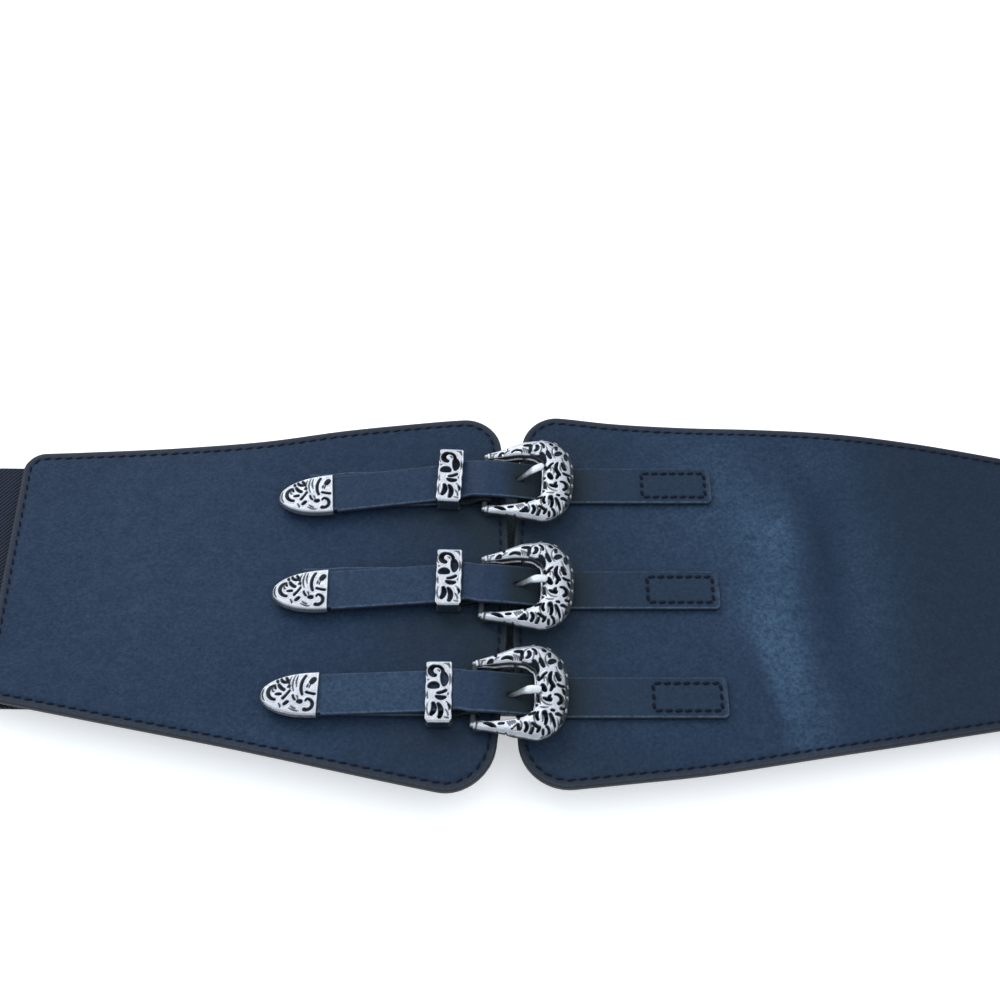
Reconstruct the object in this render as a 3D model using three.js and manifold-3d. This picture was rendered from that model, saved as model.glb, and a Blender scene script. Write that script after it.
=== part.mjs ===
// A wide hip belt, fastened and lying flat, millimetres, +Z up.
// X runs along the belt, Y across its width, and the three buckles face up.
// Two stiff leather panels meet at the front. Each of three rows has a strap sewn to the right
// panel, which passes under the bow of a western buckle, over its bar and through a metal keeper.
// A ribbed elastic band closes the loop behind, along the surface that the belt lies on.

import * as THREE from 'three'
import { mergeVertices } from 'three/addons/utils/BufferGeometryUtils.js'
import Module from 'manifold-3d'

const wasm = await Module()
wasm.setup()

const GAP = 0.3

// Closed loop, flattened: the band turns round at both ends with this middle radius.
const BAND_THICKNESS = 1.8
const BAND_WIDTH = 89
const BEND_RADIUS = 6.2
const LEFT_BEND_X = -184.5
const RIGHT_BEND_X = 189
const BAND_LEFT_TUCK_X = -162
const BAND_RIGHT_TUCK_X = 170
const BAND_LEFT_Y = 8.9
const BAND_RIGHT_Y = 3.1

// Front panels: board-stiffened leather, nearly flat, crowned a little towards the middle.
const PANEL_THICKNESS = 2.4
const PANEL_END_BASE = BAND_THICKNESS + 2 * BEND_RADIUS + GAP
const CROWN_RISE = 1.4
const FLAT_REACH = 85
const TOP_CORNER = 12.5
const BOTTOM_CORNER = 15
const END_CORNER = 5
const NEAR_TOP = 66
const NEAR_BOTTOM = -60
const PANEL_TOP = PANEL_END_BASE + CROWN_RISE + PANEL_THICKNESS

// Straight stretches of each panel's outline: distance from the middle, top edge, bottom edge.
const LEFT_EDGES = [
  { x: -1, top: 72.6, bottom: -75.6 },
  { x: -20, top: 71.7, bottom: -73.4 },
  { x: -35, top: 70.2, bottom: -70.3 },
  { x: -60, top: 67.2, bottom: -65.0 },
  { x: -90, top: 62.3, bottom: -58.6 },
  { x: -120, top: 58.7, bottom: -52.2 },
  { x: -150, top: 57.6, bottom: -45.8 },
  { x: -176, top: 57.0, bottom: -40.3 },
]
const RIGHT_EDGES = [
  { x: 1, top: 73.9, bottom: -73.6 },
  { x: 18, top: 72.6, bottom: -71.8 },
  { x: 35, top: 70.3, bottom: -69.7 },
  { x: 60, top: 68.2, bottom: -66.9 },
  { x: 90, top: 66.9, bottom: -62.3 },
  { x: 120, top: 64.5, bottom: -57.5 },
  { x: 150, top: 60.1, bottom: -52.4 },
  { x: 184, top: 53.0, bottom: -46.8 },
]
// The two front edges bow towards each other: nearest point and how fast they fall back.
const LEFT_FRONT = { x: -0.9, y: 8, fall: 0.001 }
const RIGHT_FRONT = { x: 0.7, y: -10, fall: 0.0007 }

// Soft swellings and hollows of the right panel: middle, reach along X and Y, height.
const DENTS = [
  { x: 84, y: 15, reachX: 13, reachY: 24, rise: 1.1 },
  { x: 90, y: -38, reachX: 9, reachY: 20, rise: 0.9 },
  { x: 101, y: 22, reachX: 7, reachY: 34, rise: -0.9 },
]

const STRAP_WIDTH = 14.7
const BILLET_THICKNESS = 1.6
const CHAPE_THICKNESS = 1.2
const BILLET_END_X = 71
const BILLET_END_CORNER = 2
const CHAPE_END_X = -72
const CHAPE_FLOOR = 1.3
const BILLET_FLOOR = CHAPE_FLOOR + CHAPE_THICKNESS + GAP
const SKIVED_HALF = 6.65
const SKIVED_LENGTH = 17.6

const BAR_RADIUS = 1
const BAR_HEIGHT = 2.8
const EYE_INNER = BAR_RADIUS + GAP
const EYE_OUTER = EYE_INNER + CHAPE_THICKNESS
const SLOT_HALF = 2.2

// The buckle's rim stands higher at the bow than at the bar, and lugs reach down to the bar.
const RIM_AT_BAR = 3.8
const RIM_AT_BOW = 5.9
const RIM_RUN = 20
const LUG_DROP = 2
const LUG_LENGTH = 3.5
const FRAME_WALL = 1.1
const ARM_START = 0.2
const ARM_END_Y = 11
const ARM_LENGTH = 13.5
const ARM_SHARE = 0.41
const BOW_REACH = 12.2
const BOW_HALF_SPAN = 12.9
const BOW_SQUARENESS = 0.62
const BOW_HALF_WIDTH = 5.4

// Width of the buckle along its centre line, from the arm's end (0) to the middle of the bow (1).
const FRAME_WIDTHS = [
  { share: 0, half: 1.2 },
  { share: 0.18, half: 1.75 },
  { share: 0.37, half: 2.7 },
  { share: 0.46, half: 3.6 },
  { share: 0.52, half: 4.5 },
  { share: 0.66, half: 4.9 },
  { share: 1, half: BOW_HALF_WIDTH },
]
// Domed cross-section at the bow, from the inner edge (-1) to the outer (1), which is lower.
const FRAME_SECTION = [
  { across: -1, rise: 0.5 },
  { across: -0.62, rise: 1.4 },
  { across: 0, rise: 1.7 },
  { across: 0.62, rise: 1.0 },
  { across: 1, rise: -0.8 },
]

const KEEPER_WIDTH = 22
const KEEPER_LENGTH = 8.8
const KEEPER_WALL = 0.8
const KEEPER_CORNER = 1.2

const TIP_LENGTH = 19.5
const TIP_HALF = 7.75
const TIP_WALL = 0.7
const TIP_FLOOR = 1.8
const TIP_ROOF = 5.6
const TIP_SKEW = 0.45

const PRONG_RING = 2.3
const PRONG_HALF_HEIGHT = 0.5

// One row for each buckle. y is the middle of the strap sewn to the right panel, and leftY and tilt
// place the hanging strap, which turns between barX and hangX. Tilts are in degrees, and prongX is
// counted from the bar.
const ROWS = [
  { name: 'top', y: 42, frameY: 42.3, frameTilt: -2.5, barX: -9.1, chapeY: 41.2, chapeTilt: 1.4,
    tilt: 7.2, hangX: -16.2, leftY: 42.2, tipX: -62.4,
    keeperX: -21.6, keeperY: 43.2, keeperTop: 7.4, keeperTilt: -3, prongX: 19.8, prongY: 45.5 },
  { name: 'middle', y: -0.2, frameY: 0.1, frameTilt: -2.5, barX: -10, chapeY: 1.1, chapeTilt: 0,
    tilt: 4.1, hangX: -17.1, leftY: 1.2, tipX: -62,
    keeperX: -21.4, keeperY: 2.4, keeperTop: 6.7, keeperTilt: -1, prongX: 21.2, prongY: 0.3 },
  { name: 'bottom', y: -40.3, frameY: -39.8, frameTilt: -1.6, barX: -12.6, chapeY: -40.2, chapeTilt: -0.8,
    tilt: 2, hangX: -19.5, leftY: -38.8, tipX: -63,
    keeperX: -24, keeperY: -39.9, keeperTop: 6, keeperTilt: 0, prongX: 21.2, prongY: -40.7 },
]

// Pierced scrolls: each gap is a stroke from one point to another, bowed to the left of its way
// by this much, with these half widths at its head, belly and tail.
const FRAME_SCROLLS = [
  { x: 8.6, y: 11.8, toX: 11.7, toY: 12.1, bow: 0.2, head: 0.3, belly: 0.5, tail: 0.4 },
  { x: 13.1, y: 13.9, toX: 15.4, toY: 13.2, bow: 0.1, head: 0.2, belly: 0.6, tail: 0.7 },
  { x: 17.8, y: 13.3, toX: 17.2, toY: 11.1, bow: 0.5, head: 0.4, belly: 0.7, tail: 0.35 },
  { x: 19.1, y: 10.2, toX: 20.6, toY: 6.4, bow: 0.1, head: 0.4, belly: 0.9, tail: 0.35 },
  { x: 21.3, y: 10.8, toX: 22.8, toY: 7.9, bow: -0.1, head: 0.35, belly: 0.7, tail: 0.4 },
  { x: 24.4, y: 9.3, toX: 26.3, toY: 10.5, bow: 0.2, head: 0.5, belly: 0.9, tail: 0.5 },
  { x: 28.0, y: 9.9, toX: 28.1, toY: 7.5, bow: 0, head: 0.3, belly: 0.6, tail: 0.4 },
  { x: 23.6, y: 5.7, toX: 21.6, toY: 2.9, bow: -0.2, head: 0.2, belly: 0.45, tail: 0.4 },
  { x: 25.3, y: 5.8, toX: 25.5, toY: 0.1, bow: -0.4, head: 0.25, belly: 0.6, tail: 0.7 },
  { x: 26.9, y: 5.8, toX: 28.0, toY: 3.3, bow: -0.1, head: 0.3, belly: 0.75, tail: 0.8 },
  { x: 27.3, y: 1.5, toX: 29.4, toY: 1.3, bow: -0.3, head: 0.25, belly: 0.45, tail: 0.35 },
  { x: 22.3, y: 1.5, toX: 23.4, toY: -0.7, bow: -0.1, head: 0.35, belly: 0.65, tail: 0.4 },
  { x: 22.9, y: -3.3, toX: 25.6, toY: -3.5, bow: -0.6, head: 0.25, belly: 0.7, tail: 0.8 },
  { x: 26.9, y: -1.6, toX: 27.6, toY: -5.3, bow: 1.3, head: 0.3, belly: 0.65, tail: 0.7 },
  { x: 22.9, y: -7.8, toX: 23.3, toY: -12.4, bow: 0.6, head: 0.8, belly: 0.6, tail: 0.4 },
  { x: 21.1, y: -8.1, toX: 21.2, toY: -11, bow: -0.3, head: 0.25, belly: 0.45, tail: 0.35 },
  { x: 25.0, y: -8.8, toX: 26.6, toY: -12.6, bow: 0.15, head: 0.3, belly: 0.5, tail: 0.3 },
  { x: 27.2, y: -8.9, toX: 29.0, toY: -8.8, bow: 0.2, head: 0.25, belly: 0.45, tail: 0.35 },
  { x: 19.6, y: -12.7, toX: 21.2, toY: -14, bow: 0, head: 0.5, belly: 0.75, tail: 0.5 },
  { x: 22.5, y: -14.3, toX: 25.3, toY: -15.3, bow: -1.0, head: 0.3, belly: 0.6, tail: 0.3 },
  { x: 16.9, y: -11.6, toX: 16.9, toY: -14.9, bow: 0.75, head: 0.3, belly: 0.6, tail: 0.45 },
  { x: 12.9, y: -14, toX: 14.8, toY: -13.2, bow: 0, head: 0.25, belly: 0.75, tail: 0.8 },
]
const KEEPER_SCROLLS = [
  { x: -0.9, y: 5.1, toX: -0.9, toY: 8.4, bow: 1.95, head: 0.4, belly: 0.9, tail: 0.35 },
  { x: -0.7, y: 8.4, toX: 1.3, toY: 6.4, bow: 0.6, head: 0.3, belly: 0.4, tail: 0.5 },
  { x: 1.4, y: 6.1, toX: 1.7, toY: 1.5, bow: 0.3, head: 0.4, belly: 1.2, tail: 0.4 },
  { x: -3.0, y: 1, toX: -0.4, toY: 1, bow: 0.5, head: 0.45, belly: 1.1, tail: 0.45 },
  { x: -0.5, y: -1.2, toX: 2.4, toY: -0.3, bow: -0.2, head: 0.25, belly: 0.45, tail: 0.4 },
  { x: -0.8, y: -2.3, toX: 2.2, toY: -2.7, bow: -0.3, head: 0.2, belly: 0.6, tail: 0.3 },
  { x: -1.8, y: -4.8, toX: -2.3, toY: -8.9, bow: 0.7, head: 0.4, belly: 0.75, tail: 0.45 },
  { x: -0.1, y: -5, toX: 0.3, toY: -9.3, bow: 0.8, head: 0.3, belly: 0.7, tail: 0.45 },
]
const TIP_SCROLLS = [
  { x: -14.1, y: 2.0, toX: -14.2, toY: -1.8, bow: -2.4, head: 0.35, belly: 0.55, tail: 0.4 },
  { x: -12.9, y: 3.2, toX: -11.5, toY: 1.6, bow: -0.2, head: 0.3, belly: 0.7, tail: 0.4 },
  { x: -9.5, y: 0.9, toX: -11.9, toY: -1.8, bow: 0.1, head: 0.35, belly: 0.4, tail: 0.45 },
  { x: -4.3, y: 5.9, toX: -5.4, toY: -0.4, bow: -0.95, head: 0.35, belly: 0.45, tail: 0.4 },
  { x: -4.0, y: 0.2, toX: -1.6, toY: -0.5, bow: 0, head: 0.35, belly: 0.4, tail: 0.4 },
  { x: -2.5, y: 3.8, toX: -1.6, toY: 5.0, bow: 0, head: 0.6, belly: 0.85, tail: 0.6 },
  { x: -4.1, y: -2.3, toX: -5.1, toY: -5.2, bow: 2.6, head: 0.3, belly: 0.5, tail: 0.5 },
]

const radians = THREE.MathUtils.degToRad
const mix = THREE.MathUtils.lerp
const ease = THREE.MathUtils.smoothstep

// Straight interpolation in a table of rows, read at one column by another.
function readTable(table, from, to, at) {
  const rising = table[table.length - 1][from] > table[0][from]
  const rows = rising ? table : [...table].reverse()
  const next = Math.min(Math.max(rows.findIndex((row) => row[from] >= at), 1), rows.length - 1)
  const [low, high] = [rows[next - 1], rows[next]]
  return mix(low[to], high[to], (at - low[from]) / (high[from] - low[from]))
}

// Height of the panels' outer face: flat in the middle, easing down to the band at each end.
function panelTopAt(x, y) {
  const end = x < 0 ? -BAND_LEFT_TUCK_X : BAND_RIGHT_TUCK_X
  const crown = CROWN_RISE * (1 - ease(Math.abs(x), FLAT_REACH, end))
  let height = PANEL_END_BASE + PANEL_THICKNESS + crown
  for (const dent of DENTS) {
    const away = ((x - dent.x) / dent.reachX) ** 2 + ((y - dent.y) / dent.reachY) ** 2
    height += dent.rise * Math.exp(-away)
  }
  return height
}

// A closed wall between two point grids: upper(u, v) and lower(u, v), u and v from 0 to 1.
function wall(stepsU, stepsV, upper, lower) {
  const points = []
  const faces = []
  const row = stepsV + 1
  const under = (stepsU + 1) * row
  for (const face of [upper, lower]) {
    for (let i = 0; i <= stepsU; i++) {
      for (let j = 0; j <= stepsV; j++) points.push(...face(i / stepsU, j / stepsV))
    }
  }
  const quad = (a, b, c, d) => faces.push(a, b, c, a, c, d)
  for (let i = 0; i < stepsU; i++) {
    for (let j = 0; j < stepsV; j++) {
      const a = i * row + j
      quad(a, a + row, a + row + 1, a + 1)
      quad(under + a, under + a + 1, under + a + row + 1, under + a + row)
    }
    const near = i * row
    const far = near + stepsV
    quad(near, under + near, under + near + row, near + row)
    quad(far, far + row, under + far + row, under + far)
  }
  for (let j = 0; j < stepsV; j++) {
    const last = stepsU * row + j
    quad(j, j + 1, under + j + 1, under + j)
    quad(last, under + last, under + last + 1, last + 1)
  }
  const geometry = new THREE.BufferGeometry()
  geometry.setAttribute('position', new THREE.Float32BufferAttribute(points, 3))
  geometry.setIndex(faces)
  return geometry
}

function toSolid(geometry) {
  const bare = geometry.clone()
  bare.deleteAttribute('normal')
  bare.deleteAttribute('uv')
  const merged = mergeVertices(bare, 1e-4)
  return new wasm.Manifold(new wasm.Mesh({
    numProp: 3,
    vertProperties: new Float32Array(merged.attributes.position.array),
    triVerts: new Uint32Array(merged.index.array),
  }))
}

function toGeometry(solid) {
  const mesh = solid.getMesh()
  const geometry = new THREE.BufferGeometry()
  geometry.setAttribute('position', new THREE.Float32BufferAttribute(mesh.vertProperties, 3))
  geometry.setIndex([...mesh.triVerts])
  return geometry
}

// A prism along Z from an outline in X and Y.
function prism(shape, low, high, curveSegments = 6) {
  const geometry = new THREE.ExtrudeGeometry(shape, {
    depth: high - low, bevelEnabled: false, curveSegments,
  })
  return geometry.translate(0, 0, low)
}

// A prism along Y from an outline in X and Z, centred on Y = 0.
function sidePrism(shape, width, curveSegments = 6) {
  return prism(shape, -width / 2, width / 2, curveSegments).rotateX(Math.PI / 2)
}

// A stroke's outline: stations along a circular arc, each as wide as a parabola through the three
// half widths says, and narrowed at both ends.
function strokeShape({ x, y, toX, toY, bow, head, belly, tail }) {
  const STRAIGHT = 1e-6
  const CURVED = 0.7
  const steps = Math.abs(bow) > CURVED ? 4 : 2
  const chord = new THREE.Vector2(toX - x, toY - y)
  const span = chord.length()
  const ahead = chord.clone().divideScalar(span)
  const left = new THREE.Vector2(-ahead.y, ahead.x)
  const middle = new THREE.Vector2((x + toX) / 2, (y + toY) / 2)
  const bent = Math.abs(bow) > STRAIGHT
  const radius = bent ? (span ** 2 / 4 + bow ** 2) / (2 * bow) : 0
  const halfTurn = bent ? 2 * Math.atan(2 * bow / span) : 0
  const sides = [[], []]
  for (let i = 0; i <= steps; i++) {
    const at = 2 * i / steps - 1
    const turn = halfTurn * at
    const outward = left.clone().multiplyScalar(Math.cos(turn)).addScaledVector(ahead, Math.sin(turn))
    const spine = bent
      ? middle.clone().addScaledVector(left, bow - radius).addScaledVector(outward, radius)
      : middle.clone().addScaledVector(ahead, at * span / 2)
    const end = at < 0 ? head : tail
    const half = (belly + (end - belly) * at ** 2) * (Math.abs(at) === 1 ? 0.6 : 1)
    sides[0].push(spine.clone().addScaledVector(outward, half))
    sides[1].push(spine.clone().addScaledVector(outward, -half))
  }
  return new THREE.Shape([...sides[0], ...sides[1].reverse()])
}

// Cuts every stroke of a list straight down through a plate.
function pierce(solid, scrolls, low, high) {
  return scrolls.reduce((rest, row) => rest.subtract(toSolid(prism(strokeShape(row), low, high))), solid)
}

const LEATHER = { color: 0x2c3a50, roughness: 0.62, metalness: 0 }
const STRAP_LEATHER = { color: 0x2a374c, roughness: 0.58, metalness: 0 }
const ELASTIC = { color: 0x15171c, roughness: 0.9, metalness: 0 }
const SILVER = { color: 0xb9b6b2, roughness: 0.35, metalness: 1 }

const belt = new THREE.Group()

function addPiece(name, geometry, finish, parent = belt) {
  const mesh = new THREE.Mesh(geometry, new THREE.MeshStandardMaterial(finish))
  mesh.name = name
  parent.add(mesh)
  return mesh
}

// One panel's outer face as a grid of columns. A column lies at a distance from the bowed front
// edge, and its two ends follow the table of edges, lowered where a corner is rounded.
function panelFace(edges, front, middleCount) {
  const side = Math.sign(edges[0].x)
  const length = Math.abs(edges[edges.length - 1].x)
  const frontX = (y) => front.x + side * front.fall * (y - front.y) ** 2
  const xAt = (away, y) => side * away + frontX(y) * (1 - away / length)
  const cutCorner = (away, radius) => radius - Math.sqrt(radius ** 2 - Math.max(radius - away, 0) ** 2)
  const edgeAt = (edge, away, nominalY) => readTable(edges, 'x', edge, xAt(away, nominalY))
  const frontSteps = [0, 0.035, 0.11, 0.25, 0.43, 0.67, 1].map((share) => share * BOTTOM_CORNER)
  const middleSteps = Array.from({ length: middleCount }, (_, i) => (
    mix(BOTTOM_CORNER, length - END_CORNER, (i + 1) / middleCount)))
  const endSteps = [0.35, 0.75, 1].map((share) => length - END_CORNER * (1 - share))
  const columns = [...frontSteps, ...middleSteps, ...endSteps].map((away) => {
    const endCut = cutCorner(length - away, END_CORNER)
    const top = edgeAt('top', away, NEAR_TOP) - cutCorner(away, TOP_CORNER) - endCut
    const bottom = edgeAt('bottom', away, NEAR_BOTTOM) + cutCorner(away, BOTTOM_CORNER) + endCut
    return { away, top, bottom }
  })
  if (side < 0) columns.reverse()
  const face = (drop) => (u, v) => {
    const { away, top, bottom } = columns[Math.round(u * (columns.length - 1))]
    const y = mix(bottom, top, v)
    const x = xAt(away, y)
    return [x, y, panelTopAt(x, y) - drop]
  }
  return { steps: columns.length - 1, face }
}

function addPanel(name, edges, front, middleCount) {
  const { steps, face } = panelFace(edges, front, middleCount)
  addPiece(name, wall(steps, 6, face(0), face(PANEL_THICKNESS)), LEATHER)
}

// The band's middle line seen from the side: out from under the left panel, down round the left
// end, along the surface, up round the right end and in under the right panel.
function bandStations() {
  const BEND_STEPS = 10
  const middle = BAND_THICKNESS / 2 + BEND_RADIUS
  const stations = [{ x: BAND_LEFT_TUCK_X, angle: 90 }]
  for (let i = 0; i <= BEND_STEPS; i++) stations.push({ x: LEFT_BEND_X, angle: 90 + 180 * i / BEND_STEPS })
  for (let i = 0; i <= BEND_STEPS; i++) stations.push({ x: RIGHT_BEND_X, angle: 270 + 180 * i / BEND_STEPS })
  stations.push({ x: BAND_RIGHT_TUCK_X, angle: 450 })
  return stations.map(({ x, angle }) => ({
    x, middle, outX: Math.cos(radians(angle)), outZ: Math.sin(radians(angle)),
  }))
}

function addBand() {
  const stations = bandStations()
  const face = (offset) => (u, v) => {
    const { x, middle, outX, outZ } = stations[Math.round(u * (stations.length - 1))]
    const centreY = mix(BAND_LEFT_Y, BAND_RIGHT_Y, (x - LEFT_BEND_X) / (RIGHT_BEND_X - LEFT_BEND_X))
    const reach = BEND_RADIUS + offset
    return [x + outX * reach, centreY + BAND_WIDTH * (v - 0.5), middle + outZ * reach]
  }
  const half = BAND_THICKNESS / 2
  addPiece('elastic_band', wall(stations.length - 1, 1, face(-half), face(half)), ELASTIC)
}

// Underside of the billet over the buckle's bar and down to the panel, from the bar's middle.
const BILLET_HUMP = [
  { x: -7, z: BILLET_FLOOR },
  { x: -3.4, z: 4.9 },
  { x: 0, z: 5.6 },
  { x: 3, z: 5.4 },
  { x: 5.5, z: 4.5 },
  { x: 8, z: 3.4 },
  { x: 11, z: 2.3 },
  { x: 14, z: 1.1 },
  { x: 18.5, z: GAP },
]
// Middle line of the prong above its bar, and half its width: a narrow neck and a flat paddle.
const PRONG_LINE = [
  { share: 0.08, z: 3.2, half: 0.95 },
  { share: 0.17, z: 3.4, half: 0.9 },
  { share: 0.28, z: 3.6, half: 0.8 },
  { share: 0.4, z: 4.3, half: 0.8 },
  { share: 0.54, z: 5.4, half: 0.85 },
  { share: 0.64, z: 6.4, half: 1.2 },
  { share: 0.8, z: 7.8, half: 1.45 },
  { share: 0.94, z: 8.65, half: 1.45 },
  { share: 1, z: 8.75, half: 1.0 },
]
const PRONG_SWING = 1.6
const HOLE_X = 8.2
const HOLE_LENGTH = 6
const HOLE_WIDTH = 4.2

// Half the width of a pointed tip at a share of its length: full at the mouth, round at the end.
const bullet = (share) => (1 - Math.min(share, 1) ** 2.4) ** 0.55

// The billet's lie in plan: straight from the sewn end to the bar, then hanging off at its tilt.
function billetLie(row, x) {
  const slope = Math.tan(radians(row.tilt))
  const turned = 1 - ease(x, row.hangX, row.barX)
  const hung = row.leftY - slope * (row.hangX - x)
  const straight = mix(row.y, row.leftY, turned)
  return { y: x < row.hangX ? hung : straight, angle: radians(row.tilt) * turned }
}

// Where the leaning bar of a row's buckle lies at a height y.
const barXAt = (row, y) => row.barX - Math.tan(radians(row.frameTilt)) * (y - row.frameY)

function billetFloor(row, x, y) {
  const fromBar = x - barXAt(row, y)
  if (fromBar <= BILLET_HUMP[0].x) return PANEL_TOP + BILLET_FLOOR
  if (fromBar >= BILLET_HUMP[BILLET_HUMP.length - 1].x) return panelTopAt(x, y) + GAP
  return PANEL_TOP + readTable(BILLET_HUMP, 'x', 'z', fromBar)
}

function addBillet(row) {
  const half = STRAP_WIDTH / 2
  const endShares = [0.86, 0.8, 0.68, 0.5, 0.3, 0.05]
  const skived = endShares.map((share) => ({
    x: row.tipX - SKIVED_LENGTH * share,
    half: SKIVED_HALF * bullet(share),
  }))
  const mouth = [{ x: row.tipX + 0.3, half: SKIVED_HALF }, { x: row.tipX + 0.5, half }]
  const hump = BILLET_HUMP.map(({ x }) => ({ x: row.barX + x, half }))
  const sewn = [30, 50, BILLET_END_X - BILLET_END_CORNER].map((x) => ({ x, half }))
  const corner = [0.3, 0.7, 1].map((share) => ({
    x: BILLET_END_X - BILLET_END_CORNER * (1 - share),
    half: half - BILLET_END_CORNER * (1 - Math.sqrt(1 - share ** 2)),
  }))
  const stations = [...skived, ...mouth, { x: row.hangX, half }, ...hump, ...sewn, ...corner]
    .sort((a, b) => a.x - b.x)
  const face = (rise) => (u, v) => {
    const station = stations[Math.round(u * (stations.length - 1))]
    const { y, angle } = billetLie(row, station.x)
    const across = station.half * (2 * v - 1)
    const x = station.x - Math.sin(angle) * across
    const placedY = y + Math.cos(angle) * across
    return [x, placedY, billetFloor(row, station.x, placedY) + rise]
  }
  const strap = toSolid(wall(stations.length - 1, 2, face(BILLET_THICKNESS), face(0)))
  const hole = new THREE.Shape()
  hole.absellipse(row.barX + HOLE_X, prongY(row, HOLE_X), HOLE_LENGTH / 2, HOLE_WIDTH / 2, 0, 2 * Math.PI)
  const punch = toSolid(prism(hole, PANEL_TOP, PANEL_TOP + 12, 5))
  addPiece(`${row.name}_billet_strap`, toGeometry(strap.subtract(punch)), STRAP_LEATHER)
}

// The chape from the side: an eye round the bar, then a strip that rides over the keeper's back
// and comes down to its sewn end. Its eye follows the tilted bar.
function addChape(row) {
  const RAMP_START = 8
  const RAMP_END = 14
  const EYE_MOUTH = -6.6
  const SLOT_START = -4.6
  const end = CHAPE_END_X - row.barX
  const low = CHAPE_FLOOR
  const high = CHAPE_FLOOR + CHAPE_THICKNESS
  const profile = new THREE.Shape()
  profile.moveTo(end, GAP)
  profile.lineTo(end + RAMP_START, GAP)
  profile.lineTo(end + RAMP_END, low)
  profile.lineTo(EYE_MOUTH, low)
  profile.lineTo(EYE_MOUTH / 2, GAP)
  profile.absarc(0, BAR_HEIGHT, EYE_OUTER, -Math.PI / 2, Math.PI / 2, false)
  profile.lineTo(EYE_MOUTH, high)
  profile.lineTo(end + RAMP_END, high)
  profile.lineTo(end + RAMP_START, GAP + CHAPE_THICKNESS)
  profile.lineTo(end, GAP + CHAPE_THICKNESS)
  const eye = new THREE.Path()
  eye.absarc(0, BAR_HEIGHT, EYE_INNER, -Math.PI / 2, Math.PI / 2, false)
  eye.lineTo(EYE_MOUTH / 2, BAR_HEIGHT)
  profile.holes.push(eye)
  const strip = toSolid(sidePrism(profile, STRAP_WIDTH, 5))
  const slotLength = EYE_OUTER - SLOT_START + GAP
  const slot = new THREE.BoxGeometry(slotLength, 2 * SLOT_HALF, 2 * BAR_HEIGHT + EYE_OUTER)
    .translate(SLOT_START + slotLength / 2, 0, BAR_HEIGHT)
  const barLean = -Math.tan(radians(row.frameTilt))
  const lean = new THREE.Matrix4().makeShear(Math.tan(radians(row.chapeTilt)), 0, barLean, 0, 0, 0)
  const strap = toGeometry(strip.subtract(toSolid(slot))).applyMatrix4(lean)
  const mesh = addPiece(`${row.name}_chape_strap`, strap, STRAP_LEATHER)
  mesh.position.set(barXAt(row, row.chapeY), row.chapeY, PANEL_TOP)
}

// Middle line of the buckle in plan, from the upper arm's end (0) round the bow to the lower
// arm's end (2): two straight arms and a squared-off half ellipse.
function framePoint(travel) {
  const share = travel <= 1 ? travel : 2 - travel
  const flip = travel <= 1 ? 1 : -1
  if (share < ARM_SHARE) {
    const along = share / ARM_SHARE
    const y = mix(ARM_END_Y, BOW_HALF_SPAN, along)
    return new THREE.Vector2(mix(ARM_START, ARM_LENGTH, along), flip * y)
  }
  const angle = (Math.PI / 2) * (1 - (share - ARM_SHARE) / (1 - ARM_SHARE))
  const x = ARM_LENGTH + BOW_REACH * Math.max(Math.cos(angle), 0) ** BOW_SQUARENESS
  return new THREE.Vector2(x, flip * BOW_HALF_SPAN * Math.max(Math.sin(angle), 0) ** BOW_SQUARENESS)
}

function frameShell() {
  const STEPS_ALONG = 24
  const STEP = 0.02
  const face = (lift, lugDrop) => (u, v) => {
    const travel = 2 * u
    const middle = framePoint(travel)
    const ahead = framePoint(Math.min(travel + STEP, 2))
    const behind = framePoint(Math.max(travel - STEP, 0))
    const along = ahead.sub(behind).normalize()
    const share = travel <= 1 ? travel : 2 - travel
    const half = readTable(FRAME_WIDTHS, 'share', 'half', share)
    const { across, rise } = FRAME_SECTION[Math.round(v * (FRAME_SECTION.length - 1))]
    const x = middle.x - along.y * half * across
    const y = middle.y + along.x * half * across
    const rim = mix(RIM_AT_BAR, RIM_AT_BOW, Math.min(Math.max(middle.x / RIM_RUN, 0), 1))
    const lug = lugDrop * (1 - ease(middle.x, ARM_START, LUG_LENGTH))
    return [x, y, rim + rise * half / BOW_HALF_WIDTH + lift - lug]
  }
  return wall(STEPS_ALONG, FRAME_SECTION.length - 1, face(FRAME_WALL, 0), face(0, LUG_DROP))
}

function addFrame(row) {
  const bar = new THREE.CylinderGeometry(BAR_RADIUS, BAR_RADIUS, 2 * ARM_END_Y + BAR_RADIUS, 8)
    .translate(0, 0, BAR_HEIGHT)
  const shell = pierce(toSolid(frameShell()), FRAME_SCROLLS, 0, 12)
  const mesh = addPiece(`${row.name}_buckle_frame`, toGeometry(shell.add(toSolid(bar))), SILVER)
  mesh.position.set(row.barX, row.frameY, PANEL_TOP)
  mesh.rotation.z = radians(row.frameTilt)
}

const prongY = (row, fromBar) => mix(row.chapeY, row.prongY, (fromBar / row.prongX) ** PRONG_SWING)

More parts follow.
